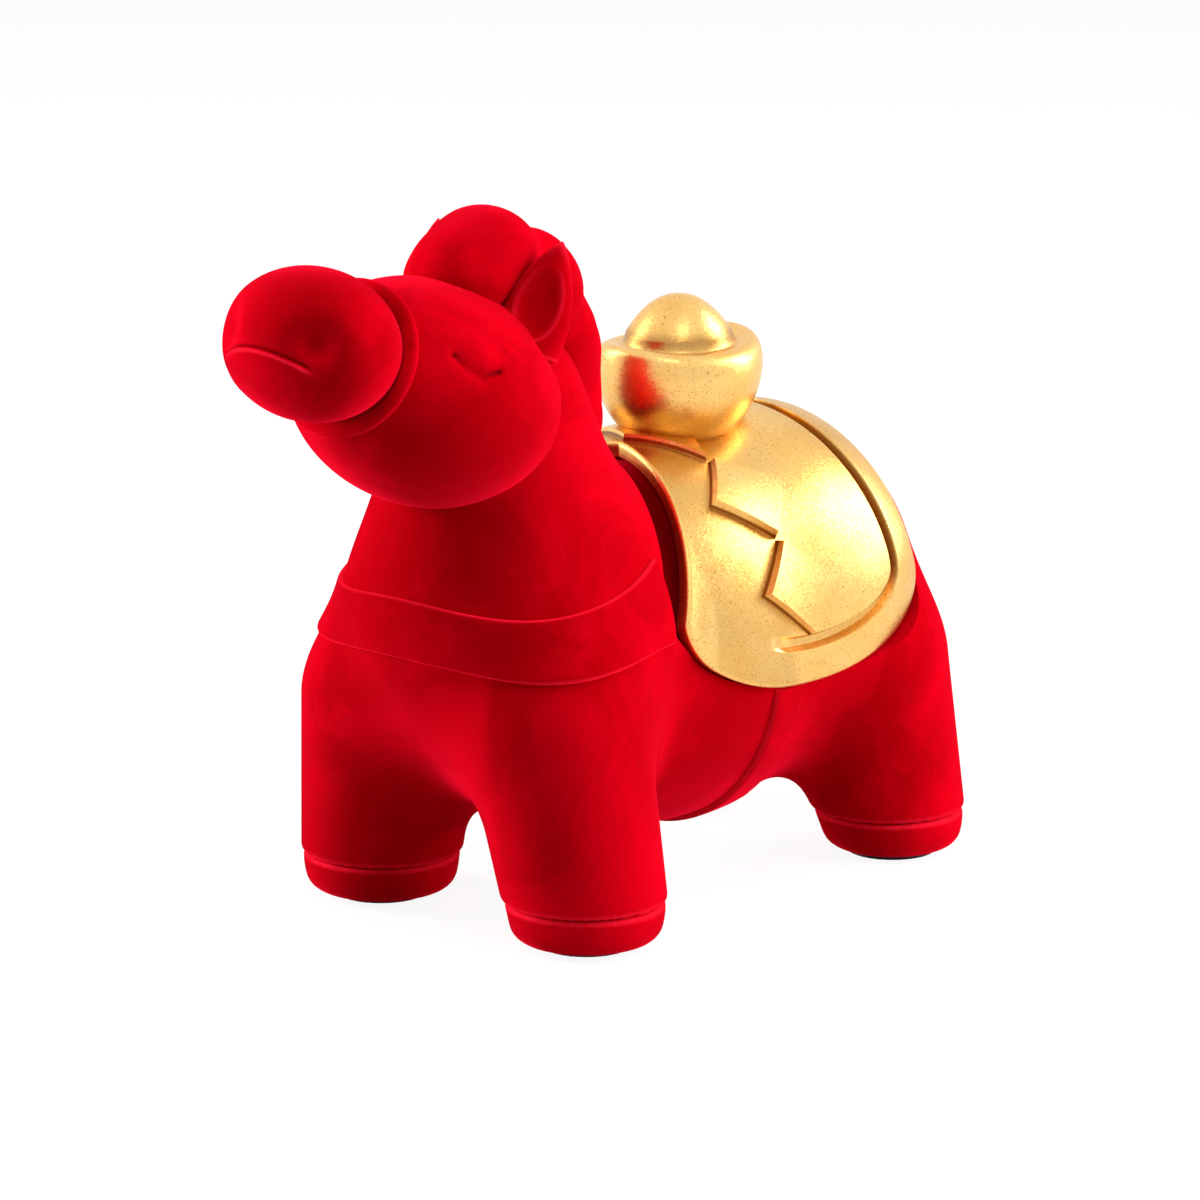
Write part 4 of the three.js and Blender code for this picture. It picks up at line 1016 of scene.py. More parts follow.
# %% [markdown]
# Both bands start as a closed tube. The angle round the tube picks a point of a rounded
# rectangle, the band's section, and the place along the tube picks the place along the band. Only
# the rule for the path differs between the two.


# %% A tube with a rounded section
def band_tube(tree, sizes):
    """A tube that knows its edges, the place along it from -1 to 1, and its section's offsets."""
    tube = add(tree, "GeometryNodeMeshCylinder",
               {"Vertices": 72, "Side Segments": sizes["Steps"], "Radius": 1.0, "Depth": 2.0})
    where = split(tree, add(tree, "GeometryNodeInputPosition"))
    turn = calc(tree, "ARCTAN2", where["Y"], where["X"])
    share = calc(tree, "FRACT", calc(tree, "ADD", calc(tree, "DIVIDE", turn, 2 * math.pi), 1.0))
    frame_curve = add(tree, "GeometryNodeCurvePrimitiveQuadrilateral",
                      {"Width": sizes["Width"], "Height": sizes["Thickness"]})
    rounded = add(tree, "GeometryNodeFilletCurve",
                  {"Curve": frame_curve, "Count": 8, "Radius": sizes["Rounding"]},
                  mode="POLY")
    sample = add(tree, "GeometryNodeSampleCurve",
                 {"Curves": rounded, "Factor": share}, mode="FACTOR")
    section = split(tree, sample.outputs["Position"])
    half = calc(tree, "MULTIPLY", sizes["Width"], 0.5)
    # A painted highlight along the band's two side edges, stored as bend.
    rim = add(tree, "ShaderNodeMapRange",
              {"Value": calc(tree, "ABSOLUTE", section["X"]), "From Max": half,
               "From Min": calc(tree, "SUBTRACT", half, sizes["Rounding"]), "To Max": 1.3})
    marked = add(tree, "GeometryNodeStoreNamedAttribute",
                 {"Geometry": tube.outputs["Mesh"], "Name": "bend", "Value": rim},
                 data_type="FLOAT", domain="POINT")
    return marked, where["Z"], section["X"], section["Y"]


def lay_tube(tree, result, sizes, tube, start, way, height):
    """Moves the tube's points to their places on the skin and closes the tree."""
    lay = add(tree, "GeometryNodeGroup",
              {"Skin": sizes["Skin"], "Start": start, "Way": way, "Height": height}, node_tree=LAY)
    moved = add(tree, "GeometryNodeSetPosition",
                {"Geometry": tube, "Position": lay})
    shaded = add(tree, "GeometryNodeSetShadeSmooth", {"Geometry": moved})
    close_tree(tree, result, shaded, sizes["Material"])


BAND_INPUTS = [("Geometry", GEOMETRY), ("Skin", OBJECT), ("Steps", WHOLE, 100),
               ("Width", FLOAT), ("Thickness", FLOAT), ("Rounding", FLOAT), ("Lift", FLOAT),
               ("Axis", VECTOR), ("Reach", FLOAT), ("Material", MATERIAL)]

# %% [markdown]
# The breast collar is an open band round the chest. It sags a little towards the sides, and
# widens towards its two ends, which stop short of the blanket.

# %% Breast collar
COLLAR_HEIGHT, COLLAR_WIDTH, COLLAR_END_WIDTH, COLLAR_SAG = 52.6, 10.4, 15, 2.3
BLANKET_FRONT_LOW_Y, COLLAR_END_GAP = -22, 4
BAND_THICKNESS, BAND_SINK, BAND_ROUNDING = 2, 1, 0.7


def build_collar_tree():
    tree, given, result = open_tree(
        "collar round a chest", "GeometryNodeTree",
        BAND_INPUTS + [("End width", FLOAT), ("Sag", FLOAT)], [("Geometry", GEOMETRY)])
    sizes = given.outputs
    tube, place, across, up = band_tube(tree, sizes)
    angle = calc(tree, "MULTIPLY", place, sizes["Reach"])
    way = add(tree, "ShaderNodeCombineXYZ",
              {"X": calc(tree, "SINE", angle),
               "Y": calc(tree, "MULTIPLY", calc(tree, "COSINE", angle), -1.0), "Z": 0.0})
    widening = calc(tree, "POWER", calc(tree, "ABSOLUTE", place), 4.0)
    more = calc(tree, "SUBTRACT", sizes["End width"], sizes["Width"])
    width = calc(tree, "MULTIPLY_ADD", widening, more, sizes["Width"])
    from_low = calc(tree, "ADD", calc(tree, "DIVIDE", across, sizes["Width"]), 0.5)
    rise = calc(tree, "MULTIPLY", from_low, width)
    wave = calc(tree, "POWER", calc(tree, "SINE", calc(tree, "MULTIPLY", place, math.pi)), 2.0)
    level = calc(tree, "SUBTRACT", rise, calc(tree, "MULTIPLY", wave, sizes["Sag"]))
    lifted = vector(tree, z=level)
    start = vector_calc(tree, "ADD", sizes["Axis"], lifted)
    height = calc(tree, "ADD", up, sizes["Lift"])
    lay_tube(tree, result, sizes, tube, start, way, height)
    return tree


def collar_end_angle():
    """How far round the chest the collar's middle runs before it nears the blanket."""
    angles = np.linspace(0.5, 2.6, 2101)
    starts = np.tile((0, chest_centre[1], COLLAR_HEIGHT + COLLAR_WIDTH / 2), (len(angles), 1))
    ways = np.stack([np.sin(angles), -np.cos(angles), 0 * angles], 1)
    reached = leave(whole, starts, ways)[:, 1]
    return float(angles[np.argmax(reached > BLANKET_FRONT_LOW_Y - COLLAR_END_GAP)])


collar = grow("collar", build_collar_tree(), {
    "Skin": whole_skin, "Steps": 240, "Width": COLLAR_WIDTH * MM,
    "Thickness": BAND_THICKNESS * MM, "Rounding": BAND_ROUNDING * MM,
    "Lift": (BAND_THICKNESS / 2 - BAND_SINK) * MM,
    "Axis": in_frame(0, chest_centre[1], COLLAR_HEIGHT), "Reach": collar_end_angle(),
    "Material": VELVET, "End width": COLLAR_END_WIDTH * MM, "Sag": COLLAR_SAG * MM,
})
finish_piece("velvet_breast_collar", collar, VELVET, "velvet", "breast_collar", sharp=60)

# %% [markdown]
# The girth runs under the belly from one edge of the blanket to the other. Its path is measured
# over the back, as the blanket's is.

# %% Girth
WRAP_RADIUS = (BARREL[0] + BARREL[2]) / 4
BLANKET_DROP, GIRTH_WIDTH, GIRTH_Y = 57.4, 7.5, 4


def build_girth_tree():
    tree, given, result = open_tree(
        "girth under a belly", "GeometryNodeTree", BAND_INPUTS, [("Geometry", GEOMETRY)])
    sizes = given.outputs
    tube, place, across, up = band_tube(tree, sizes)
    angle = calc(tree, "MULTIPLY", place, sizes["Reach"])
    way = add(tree, "ShaderNodeCombineXYZ",
              {"X": calc(tree, "SINE", angle), "Y": 0.0,
               "Z": calc(tree, "MULTIPLY", calc(tree, "COSINE", angle), -1.0)})
    back = calc(tree, "MULTIPLY", across, -1.0)
    aside = vector(tree, y=back)
    start = vector_calc(tree, "ADD", sizes["Axis"], aside)
    height = calc(tree, "ADD", up, sizes["Lift"])
    lay_tube(tree, result, sizes, tube, start, way, height)
    return tree


girth = grow("girth", build_girth_tree(), {
    "Skin": trunk_skin, "Steps": 160, "Width": GIRTH_WIDTH * MM,
    "Thickness": BAND_THICKNESS * MM, "Rounding": BAND_ROUNDING * MM,
    "Lift": (BAND_THICKNESS / 2 - BAND_SINK) * MM,
    "Axis": in_frame(0, GIRTH_Y, BARREL_HEIGHT),
    "Reach": math.pi - (BLANKET_DROP + 0.3) / WRAP_RADIUS, "Material": VELVET,
})
finish_piece("velvet_girth", girth, VELVET, "velvet", "girth", sharp=60)

# %% [markdown]
# The saddle blanket is cut flat and then wrapped over the back: one measure runs across the back,
# the other along it. Its outline is two straight sides with a round bottom. Rings that follow the
# outline inwards carry the rounded rim, the border groove and the field. Every point is laid on
# the trunk's exact skin, because gold paint shows the slightest unevenness.

# %% Saddle blanket: layout
BLANKET_THICKNESS, BLANKET_SINK = 3, 0.8
BLANKET_BOTTOM, BLANKET_MIDDLE_Y, FRONT_BOW = 16.5, 8.5, 0.9
FRONT_TOP_Y, REAR_TOP_Y, REAR_LOW_Y = -6, 36, 39.5
BORDER_WIDTH, GROOVE_WIDTH, GROOVE_DEPTH, GROOVE_FADE = 6.2, 2.8, 1.6, 10
RIM_ROUNDING = 0.9
OUTLINE_POINTS, FIELD_RINGS, CORNER_SPREAD = 640, 60, 12
blanket_top = BLANKET_THICKNESS - BLANKET_SINK


def on_back(across, along, height):
    """Points at a height over the back, from flat layout measures."""
    across, along, height = np.broadcast_arrays(across, along, height)
    angle = across / WRAP_RADIUS
    ways = np.stack([np.sin(angle), 0 * angle, np.cos(angle)], 1)
    starts = np.stack([0 * along, along, 0 * along + BARREL_HEIGHT], 1)
    found = leave(trunk, starts, ways)
    return found + normals_of(trunk, found) * height[:, None]


def blanket_outline():
    """The flat outline, evenly spaced, and its inward normals."""
    side = BLANKET_DROP - BLANKET_BOTTOM
    turn = np.linspace(0, math.pi, 200)
    reach = np.where(turn < math.pi / 2, BLANKET_MIDDLE_Y - BLANKET_FRONT_LOW_Y,
                     REAR_LOW_Y - BLANKET_MIDDLE_Y)
    down = np.linspace(0, 1, 40, endpoint=False)
    front = FRONT_TOP_Y + (BLANKET_FRONT_LOW_Y - FRONT_TOP_Y) * down
    front += FRONT_BOW * np.sin(math.pi * down)
    half = np.concatenate([
        np.stack([side * down, front], 1),
        np.stack([side + BLANKET_BOTTOM * np.sin(turn),
                  BLANKET_MIDDLE_Y - reach * np.cos(turn)], 1),
        [(0, REAR_TOP_Y)]])
    other = half[1:-1][::-1] * (-1, 1)
    loop = np.concatenate([half, other, half[:1]])
    steps = np.concatenate([[0], np.cumsum(np.linalg.norm(np.diff(loop, axis=0), axis=1))])
    even = np.linspace(0, steps[-1], OUTLINE_POINTS, endpoint=False)
    outline = np.stack([np.interp(even, steps, loop[:, axis]) for axis in range(2)], 1)
    along = np.roll(outline, -1, 0) - np.roll(outline, 1, 0)
    for _ in range(6):
        along = (np.roll(along, 1, 0) + 2 * along + np.roll(along, -1, 0)) / 4
    inward = np.stack([-along[:, 1], along[:, 0]], 1)
    return outline, inward / np.linalg.norm(inward, axis=1, keepdims=True)


outline, inward = blanket_outline()
outline_length = np.linalg.norm(np.diff(outline, axis=0), axis=1).sum()
print("blanket's outline is", round(outline_length), "mm long")


# %% Saddle blanket: relief and mesh
def relief(inset, along):
    """Height over the skin at a distance in from the edge."""
    rim = np.clip(inset / RIM_ROUNDING, 0, 1)
    edge = RIM_ROUNDING * (np.sqrt(1 - (1 - rim) ** 2) - 1)
    middle = BORDER_WIDTH + GROOVE_WIDTH / 2
    depth = GROOVE_DEPTH * smooth(along, FRONT_TOP_Y, FRONT_TOP_Y + GROOVE_FADE)
    wall = 1 - smooth(np.abs(inset - middle), GROOVE_WIDTH * 0.22, GROOVE_WIDTH * 0.5)
    return blanket_top + edge - depth * wall


def ring_at(inset):
    """The flat outline drawn in, with rounder corners the further in it lies."""
    drawn_in = outline + inward * inset
    fade = np.exp(-2 * (math.pi * np.fft.rfftfreq(OUTLINE_POINTS) * CORNER_SPREAD) ** 2)
    rounded = np.fft.irfft(np.fft.rfft(drawn_in, axis=0) * fade[:, None], OUTLINE_POINTS, axis=0)
    return drawn_in + (rounded - drawn_in) * smooth(inset, 1.5, BORDER_WIDTH)


def blanket_points():
    rim_insets = RIM_ROUNDING * (1 - np.cos(np.linspace(0, math.pi / 2, 7)))
    groove = np.linspace(BORDER_WIDTH - 0.2, BORDER_WIDTH + GROOVE_WIDTH + 0.2, 15)
    insets = np.concatenate([rim_insets, np.linspace(1.3, BORDER_WIDTH - 0.6, 9), groove])
    field = BORDER_WIDTH + GROOVE_WIDTH + 0.6
    rings = []
    for inset in insets:
        rings.append((ring_at(inset), relief(inset, outline[:, 1])))
    last = ring_at(field)
    middle = np.array((0, BLANKET_MIDDLE_Y))
    for shrink in np.linspace(0, 1, FIELD_RINGS + 1)[:-1]:
        rings.append((last + (middle - last) * shrink, np.full(len(last), float(blanket_top))))
    under = [(outline + inward * 0.4, np.full(len(outline), -float(BLANKET_SINK))),
             (outline, np.full(len(outline), 0.4 - BLANKET_SINK))]
    rings = under + rings
    flat = np.concatenate([ring[0] for ring in rings] + [middle[None], middle[None]])
    heights = np.concatenate([ring[1] for ring in rings] + [[blanket_top], [-BLANKET_SINK]])
    return on_back(flat[:, 0], flat[:, 1], heights), len(rings)


def capped_faces(count, rings):
    """Faces between rings of as many points each; the two points after them close the ends."""
    here = np.arange(count)
    there = (here + 1) % count
    last, tip = (rings - 1) * count, np.full(count, rings * count)
    walls = [np.stack([low + here, low + there, low + count + there, low + count + here], 1)
             for low in np.arange(rings - 1) * count]
    ends = [np.stack([last + here, last + there, tip], 1), np.stack([there, here, tip + 1], 1)]
    return np.concatenate(walls).tolist() + np.concatenate(ends).tolist()


points, ring_count = blanket_points()
blanket_mesh = mesh_of("gilt_saddle_blanket", points, capped_faces(OUTLINE_POINTS, ring_count))

# %% [markdown]
# The lozenges are raised plates in a row down each side, corner to corner, and a wider one over
# the back, under the ingot. They repeat, so Geometry Nodes set one plate on each point of a row.
# The plate is a four-sided stump of a pyramid: its sloping sides are what the camera sees as dark
# lines, and a painted shade on them darkens them further. It is made flat, divided finely, and then
# wrapped over the back as the blanket is.

# %% Lozenges
LOZENGE_LENGTH, LOZENGE_WIDTH, LOZENGE_DRIFT, LOZENGE_COUNT = 17.6, 19, 2.4, 2
LOZENGE_HEIGHT, LOZENGE_ROOT, LOZENGE_SLOPE = 0.9, 1.2, 0.9
CENTRE_LENGTH, CENTRE_WIDTH, CENTRE_RISE, CENTRE_Y = 26.4, 14, 0.5, 2


def build_lozenge_tree():
    tree, given, result = open_tree(
        "row of lozenges", "GeometryNodeTree",
        [("Geometry", GEOMETRY), ("Skin", OBJECT), ("Count", WHOLE, 2), ("Length", FLOAT),
         ("Width", FLOAT), ("Slope", FLOAT), ("Low", FLOAT), ("High", FLOAT), ("First", VECTOR),
         ("Step", VECTOR), ("Skew", FLOAT), ("Wrap radius", FLOAT), ("Axis", VECTOR),
         ("Material", MATERIAL)],
        [("Geometry", GEOMETRY)])
    sizes = given.outputs
    half = calc(tree, "MULTIPLY", sizes["Length"], 0.5)
    top_radius = calc(tree, "SUBTRACT", half, sizes["Slope"])
    height = calc(tree, "SUBTRACT", sizes["High"], sizes["Low"])
    stump = add(tree, "GeometryNodeMeshCone",
                {"Vertices": 4, "Side Segments": 1, "Fill Segments": 4, "Radius Top": top_radius,
                 "Radius Bottom": half, "Depth": height}, fill_type="TRIANGLE_FAN")
    fine = add(tree, "GeometryNodeSubdivideMesh", {"Mesh": stump.outputs["Mesh"], "Level": 4})
    stretch = add(tree, "ShaderNodeCombineXYZ",
                  {"X": 1.0, "Y": calc(tree, "DIVIDE", sizes["Width"], sizes["Length"]), "Z": 1.0})
    plate = add(tree, "GeometryNodeTransform",
                {"Geometry": fine, "Scale": stretch})
    row = add(tree, "GeometryNodeMeshLine",
              {"Count": sizes["Count"], "Start Location": sizes["First"],
               "Offset": sizes["Step"]}, mode="OFFSET")
    plates = add(tree, "GeometryNodeInstanceOnPoints",
                 {"Points": row, "Instance": plate})
    real = add(tree, "GeometryNodeRealizeInstances", {"Geometry": plates})
    flat = add(tree, "ShaderNodeSeparateXYZ",
               {0: add(tree, "GeometryNodeInputPosition").outputs[0]}).outputs
    along = calc(tree, "MULTIPLY_ADD", flat["X"], sizes["Skew"], flat["Y"])
    angle = calc(tree, "DIVIDE", flat["X"], sizes["Wrap radius"])
    way = add(tree, "ShaderNodeCombineXYZ",
              {"X": calc(tree, "SINE", angle), "Y": 0.0, "Z": calc(tree, "COSINE", angle)})
    aside = vector(tree, y=along)
    start_point = vector_calc(tree, "ADD", sizes["Axis"], aside)
    lay = add(tree, "GeometryNodeGroup",
              {"Skin": sizes["Skin"], "Start": start_point, "Way": way,
               "Height": flat["Z"]}, node_tree=LAY)
    moved = add(tree, "GeometryNodeSetPosition",
                {"Geometry": real, "Position": lay})
    close_tree(tree, result, moved, sizes["Material"])
    return tree


lozenge_tree = build_lozenge_tree()
lozenge_low = blanket_top - LOZENGE_ROOT


def lozenge_row(count, length, width, rise, first, side):
    """A row of plates from the flat place of the first plate's middle."""
    skew = side * LOZENGE_DRIFT / LOZENGE_LENGTH if count > 1 else 0
    high = blanket_top + rise
    middle = (lozenge_low + high) / 2
    return grow("lozenges", lozenge_tree, {
        "Skin": trunk_skin, "Count": count, "Length": length * MM, "Width": width * MM,
        "Slope": LOZENGE_SLOPE * MM, "Low": lozenge_low * MM, "High": high * MM,
        "First": Vector((side * first[0], first[1] - skew * side * first[0], middle)) * MM,
        "Step": Vector((side * LOZENGE_LENGTH, 0, 0)) * MM, "Skew": skew,
        "Wrap radius": WRAP_RADIUS * MM, "Axis": in_frame(0, 0, BARREL_HEIGHT),
        "Material": GILT})


row_middle = ((CENTRE_LENGTH + LOZENGE_LENGTH) / 2, CENTRE_Y + LOZENGE_DRIFT / 2)
rows = [lozenge_row(1, CENTRE_LENGTH, CENTRE_WIDTH, CENTRE_RISE, (0, CENTRE_Y), 1)]
for side in (1, -1):
    rows.append(lozenge_row(LOZENGE_COUNT, LOZENGE_LENGTH, LOZENGE_WIDTH, LOZENGE_HEIGHT,
                            row_middle, side))


# %% Join the lozenges with the blanket
def combine(mesh, tool_mesh, operation):
    """The solid that two closed meshes make together."""
    first, tool = new_object("first", mesh), new_object("tool", tool_mesh)
    modifier = first.modifiers.new("combine", "BOOLEAN")
    modifier.object, modifier.operation, modifier.solver = tool, operation, "MANIFOLD"
    depsgraph = bpy.context.evaluated_depsgraph_get()
    result = bpy.data.meshes.new_from_object(first.evaluated_get(depsgraph), depsgraph=depsgraph)
    bpy.data.objects.remove(first)
    bpy.data.objects.remove(tool)
    return result


def blanket_painted_shade(mesh):
    """Where shade is painted on the gold: in the groove, weaker at the bottom, and on the lozenges'
    slopes.
    """
    points = own_points(mesh)
    rise = trunk(points) - blanket_top
    angle = np.arctan2(points[:, 0], points[:, 2] - BARREL_HEIGHT)
    flat = np.stack([angle * WRAP_RADIUS, points[:, 1]], 1)
    inset, _ = near_line(flat, outline[::8])
    at_bottom = smooth(np.abs(flat[:, 0]), BLANKET_DROP - 18, BLANKET_DROP - 10)
    groove = smooth(-rise, 0.02, 0.35) * smooth(inset, 2, 4) * (1 - 0.75 * at_bottom)
    near_top = smooth(rise, LOZENGE_HEIGHT - 0.25, LOZENGE_HEIGHT - 0.05)
    slope = smooth(rise, -0.05, 0.1) * (1 - near_top)
    return np.maximum(groove, slope * (rise < LOZENGE_HEIGHT))


for row in rows:
    blanket_mesh = combine(blanket_mesh, row, "UNION")
# The painted shade of groove and slopes is stored on the blanket.
store(blanket_mesh, "painted_shade", blanket_painted_shade(blanket_mesh))
finish_piece("gilt_saddle_blanket", blanket_mesh, GILT, "gilt", "saddle_blanket", sharp=24)

# %% [markdown]
# The blanket lies in a shallow bed, a hair wider than itself, so that the thighs don't swell
# through it and a dark line runs round its edge. Behind the neck the bed is wider still, and its
# floor shows as a dark strip. The line and the strip are partly cast shade and partly painted
# shade:
# the bed's floor is painted as dark as a crease. It is cut out of the body with a solid that
# follows the same outline.

# %% Bed for the blanket
SEAT_GAP, NECK_GAP, NECK_GAP_DEPTH, BED_HEIGHT, BED_RINGS = 0.3, 6.8, 1.5, 12, 24


def bed_mesh():
    side = BLANKET_DROP - BLANKET_BOTTOM
    beside_neck = smooth(np.abs(outline[:, 0]), side - 6, side + 6)
    behind_neck = smooth(inward[:, 1], 0.5, 0.9) * (1 - beside_neck)
    gap = SEAT_GAP + (NECK_GAP - SEAT_GAP) * behind_neck
    grown, middle = outline - inward * gap[:, None], np.array((0, BLANKET_MIDDLE_Y))
    low, high = -BLANKET_SINK - SEAT_GAP, BED_HEIGHT
    shrinks = np.linspace(0, 1, BED_RINGS, endpoint=False)
    rings = [(shrink, low) for shrink in shrinks[::-1]] + [(0, blanket_top)]
    rings += [(shrink, high) for shrink in shrinks]
    flat = [grown + (middle - grown) * shrink for shrink, _ in rings] + [middle[None]] * 2
    heights = [np.full(OUTLINE_POINTS, float(height)) for _, height in rings] + [[high], [low]]
    heights[BED_RINGS - 1] = low - NECK_GAP_DEPTH * behind_neck
    flat, heights = np.concatenate(flat), np.concatenate(heights)
    mesh = mesh_of("bed", on_back(flat[:, 0], flat[:, 1], heights),
                   capped_faces(OUTLINE_POINTS, len(rings)))
    mesh.materials.append(VELVET)
    return mesh


body.data = combine(body.data, bed_mesh(), "DIFFERENCE")
if "bend" in body.data.attributes:
    body.data.attributes.remove(body.data.attributes["bend"])
store_bend(body.data, body_form, lambda points: trunk(points) > blanket_top - 0.2)
body.data.set_sharp_from_angle(angle=math.radians(50))
print("body with its bed:", len(body.data.polygons), "faces,", len(body.data.materials), "finish")

# %% [markdown]
# The ingot is turned on a lathe in one's mind: a profile with a foot, a full belly, a soft bead
# along the rim, a shallow moat and a bell-shaped dome. Then it is drawn out along the horse, and
# its two ends are lifted like a boat's.

# %% Ingot
INGOT_Y, INGOT_WIDTH, INGOT_LENGTH, INGOT_SINK = 9.9, 28.4, 33, 2.8
BELLY_HEIGHT, BELLY_DEPTH = 13.6, 15.9
RIM_HEIGHT, HORN_RISE, RIM_LIP, RIM_CORNER, MOAT_DEPTH = 17.8, 2.6, 3.2, 1.7, 0.6
DOME_RADIUS, DOME_HEIGHT, DOME_FILLET, DOME_CROWN = 9.3, 9.5, 2.6, 5.4
BEAD_DEPTH, BEAD_DROP, BEAD_WIDTH = 0.12, 3.2, 1.2
INGOT_SIDES = 160
ingot_foot = on_back(np.array([0.0]), np.array([INGOT_Y]), np.array([blanket_top - INGOT_SINK]))[0]


def ingot_profile():
    radius, lip = INGOT_WIDTH / 2, INGOT_WIDTH / 2 - RIM_LIP
    rim, moat = RIM_HEIGHT, RIM_HEIGHT - MOAT_DEPTH
    crown, shoulder = moat + DOME_HEIGHT, moat + 1.7 * DOME_FILLET
    t = np.linspace(0, 1, 29)[1:]
    bowl = np.linspace(-math.asin(BELLY_HEIGHT / BELLY_DEPTH), 0, 40)
    foot = radius * math.cos(bowl[0])
    profile = np.concatenate([
        np.stack([np.linspace(foot / 6, foot, 6)[:-1], np.zeros(5)], 1),
        np.stack([radius * np.cos(bowl), BELLY_HEIGHT + BELLY_DEPTH * np.sin(bowl)], 1),
        bezier([(radius, BELLY_HEIGHT), (radius, rim - RIM_CORNER), (radius - RIM_CORNER, rim),
                (lip, rim)], t),
        bezier([(lip, rim), (lip - 0.8, rim), (DOME_RADIUS + 0.6, moat),
                (DOME_RADIUS, moat + DOME_FILLET)], t),
        bezier([(DOME_RADIUS, moat + DOME_FILLET), (DOME_RADIUS - 0.4 * DOME_FILLET, shoulder),
                (DOME_CROWN, crown), (0, crown)], t)[:-1]])
    below_rim = (profile[:, 1] - (rim - BEAD_DROP)) / BEAD_WIDTH
    on_wall = profile[:, 0] > radius - RIM_CORNER
    profile[:, 0] -= BEAD_DEPTH * np.exp(-below_rim ** 2) * on_wall
    return profile


def build_ingot():
    profile = ingot_profile()
    turn = np.linspace(0, 2 * math.pi, INGOT_SIDES, endpoint=False)
    reach, height = profile[:, :1], profile[:, 1:]
    x, y = reach * np.cos(turn), reach * np.sin(turn)
    z = height + 0 * x
    radius = INGOT_WIDTH / 2
    lift = smooth(reach, DOME_RADIUS, radius) * np.sin(turn) ** 2
    stretch = (INGOT_LENGTH / INGOT_WIDTH - 1) * smooth(reach, DOME_RADIUS / 2, radius)
    points = np.stack([x, y * (1 + stretch), z + HORN_RISE * lift * height / RIM_HEIGHT], -1)
    points = points.reshape(-1, 3)
    moat = RIM_HEIGHT - MOAT_DEPTH
    points = np.concatenate([points, [(0, 0, moat + DOME_HEIGHT), (0, 0, 0)]]) + ingot_foot
    mesh = mesh_of("gilt_ingot", points, capped_faces(INGOT_SIDES, len(profile)))
    # Painted shade in the moat round the dome and on the low belly.
    painted_moat_shade = 0.6 * np.exp(-((reach - DOME_RADIUS) / 0.7) ** 2) * (height > moat - 1)
    painted_belly_shade = 0.45 * (1 - smooth(height, 2, 9))
    painted_shade = np.maximum(painted_moat_shade, painted_belly_shade) + 0 * x
    store(mesh, "painted_shade", np.append(painted_shade.ravel(), (0, 0)))
    return mesh


finish_piece("gilt_ingot", build_ingot(), GILT, "gilt", "ingot")

# %% [markdown]
# Each hoof stands on a felt disc. Felt is a mat of loose fibres, and those at its rim stand out, so
# a tree scatters short bristles over the disc. The scatter has a fixed seed.

# %% Felt pads
PAD_RADIUS, PAD_THICKNESS = 8.5, 1.8


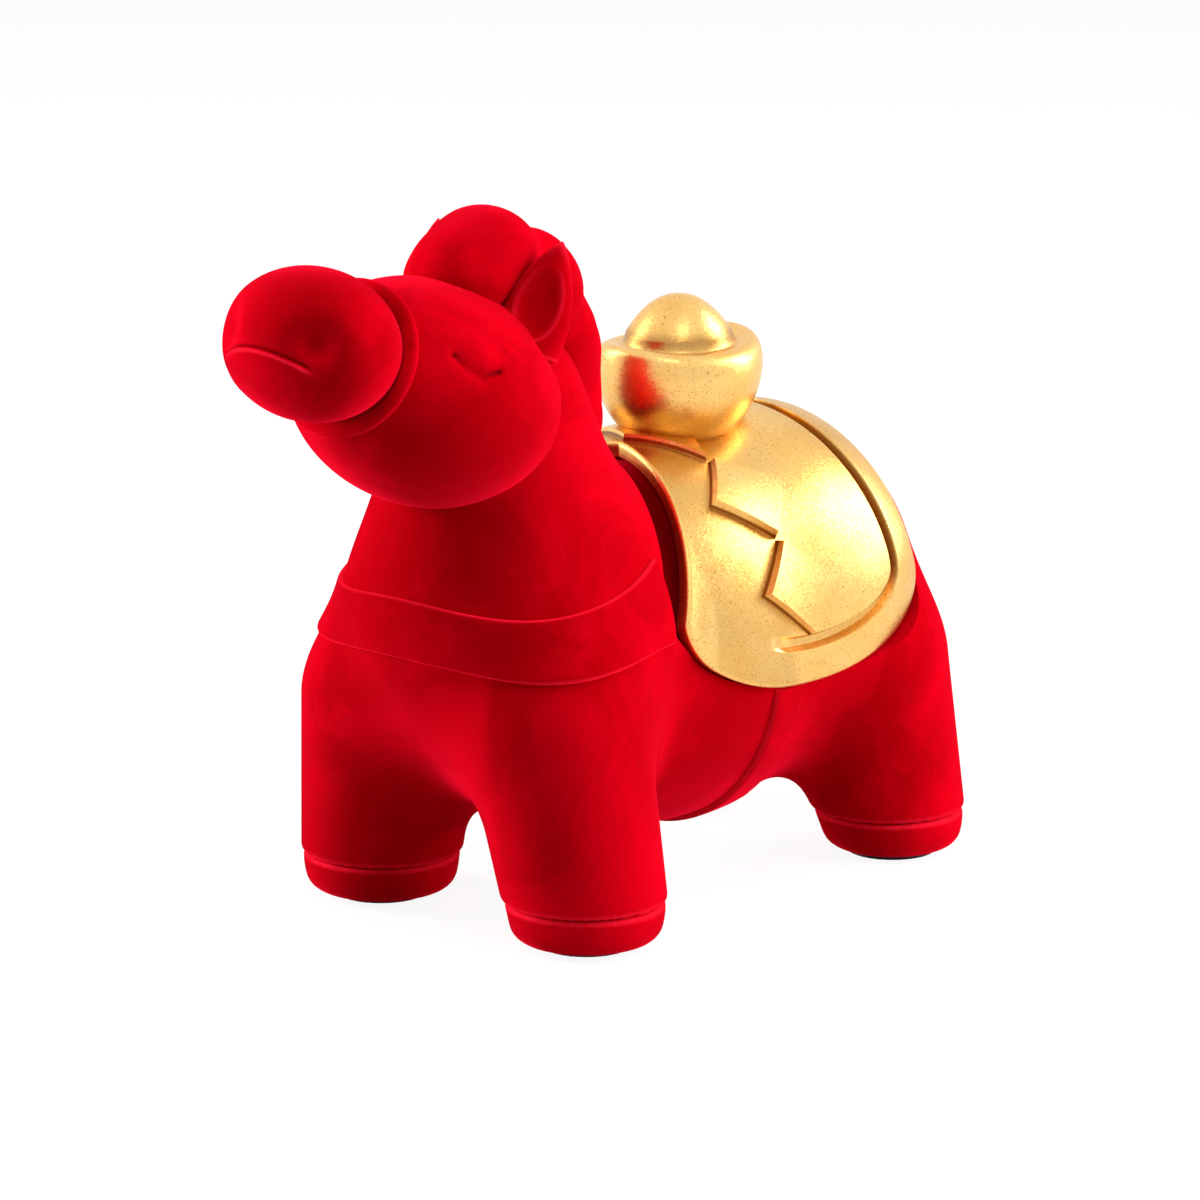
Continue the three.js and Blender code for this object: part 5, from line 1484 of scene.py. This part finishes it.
def build_pad_tree():
    tree, given, result = open_tree(
        "felt pad", "GeometryNodeTree",
        [("Geometry", GEOMETRY), ("Radius", FLOAT), ("Thickness", FLOAT), ("Fibre", FLOAT),
         ("Density", FLOAT), ("Place", VECTOR), ("Seed", WHOLE, 3), ("Material", MATERIAL)],
        [("Geometry", GEOMETRY)])
    sizes = given.outputs
    disc = add(tree, "GeometryNodeMeshCylinder",
               {"Vertices": 64, "Side Segments": 4, "Fill Segments": 6,
                "Radius": calc(tree, "SUBTRACT", sizes["Radius"], sizes["Fibre"]),
                "Depth": sizes["Thickness"]}, fill_type="TRIANGLE_FAN")
    where = add(tree, "GeometryNodeInputPosition").outputs[0]
    flat = vector_calc(tree, "MULTIPLY", where, (1.0, 1.0, 0.0))
    reach = add(tree, "ShaderNodeVectorMath", {0: flat}, operation="LENGTH").outputs["Value"]
    on_wall = calc(tree, "GREATER_THAN", reach, calc(tree, "MULTIPLY", sizes["Radius"], 0.9))
    scattered = add(tree, "GeometryNodeDistributePointsOnFaces",
                    {"Mesh": disc.outputs["Mesh"], "Selection": on_wall,
                     "Density": sizes["Density"], "Seed": sizes["Seed"]})
    fibre = add(tree, "GeometryNodeMeshCone",
                {"Vertices": 3, "Radius Top": calc(tree, "MULTIPLY", sizes["Fibre"], 0.06),
                 "Radius Bottom": calc(tree, "MULTIPLY", sizes["Fibre"], 0.16),
                 "Depth": sizes["Fibre"]})
    tilt = add(tree, "FunctionNodeRandomValue",
               {0: (-0.7, -0.7, 0.0), 1: (0.7, 0.7, 6.3), "Seed": sizes["Seed"]},
               data_type="FLOAT_VECTOR")
    turned = add(tree, "FunctionNodeRotateRotation",
                 {"Rotation": scattered.outputs["Rotation"], "Rotate By": tilt},
                 rotation_space="LOCAL")
    fibres = add(tree, "GeometryNodeInstanceOnPoints",
                 {"Points": scattered.outputs["Points"], "Instance": fibre.outputs["Mesh"],
                  "Rotation": turned})
    joined = add(tree, "GeometryNodeJoinGeometry", {"Geometry": disc.outputs["Mesh"]})
    plug(tree, joined, {0: fibres})
    placed = add(tree, "GeometryNodeTransform",
                 {"Geometry": joined.outputs[0], "Translation": sizes["Place"]})
    close_tree(tree, result, placed, sizes["Material"])
    return tree


pad_tree = build_pad_tree()
for end, foot_y in (("front", FRONT_FOOT_Y), ("rear", HIND_FOOT_Y)):
    for side, x in (("left", LEG_SPREAD), ("right", -LEG_SPREAD)):
        mesh = grow("pad", pad_tree, {
            "Radius": PAD_RADIUS * MM, "Thickness": PAD_THICKNESS * MM, "Fibre": 0.4 * MM,
            "Density": 2.5e6, "Place": in_frame(x, foot_y, PAD_THICKNESS / 2), "Seed": 3,
            "Material": FELT})
        finish_piece(f"felt_{end}_{side}_pad", mesh, FELT, "felt", f"{end}_{side}_pad")

# %% [markdown]
# The skins that only served as something to lay the bands on are no part of the horse. They go,
# and the finished model's box is written beside the solids' box, to compare the two.

# %% Clear away, measure and finish
for helper in (whole_skin, trunk_skin):
    bpy.data.objects.remove(helper)
bpy.context.view_layer.update()
made_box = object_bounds()
for label, (low, high) in (("solids", cad_box), ("dressed", made_box)):
    print(label, [round((high[i] - low[i]) / MM, 1) for i in range(3)], "mm")
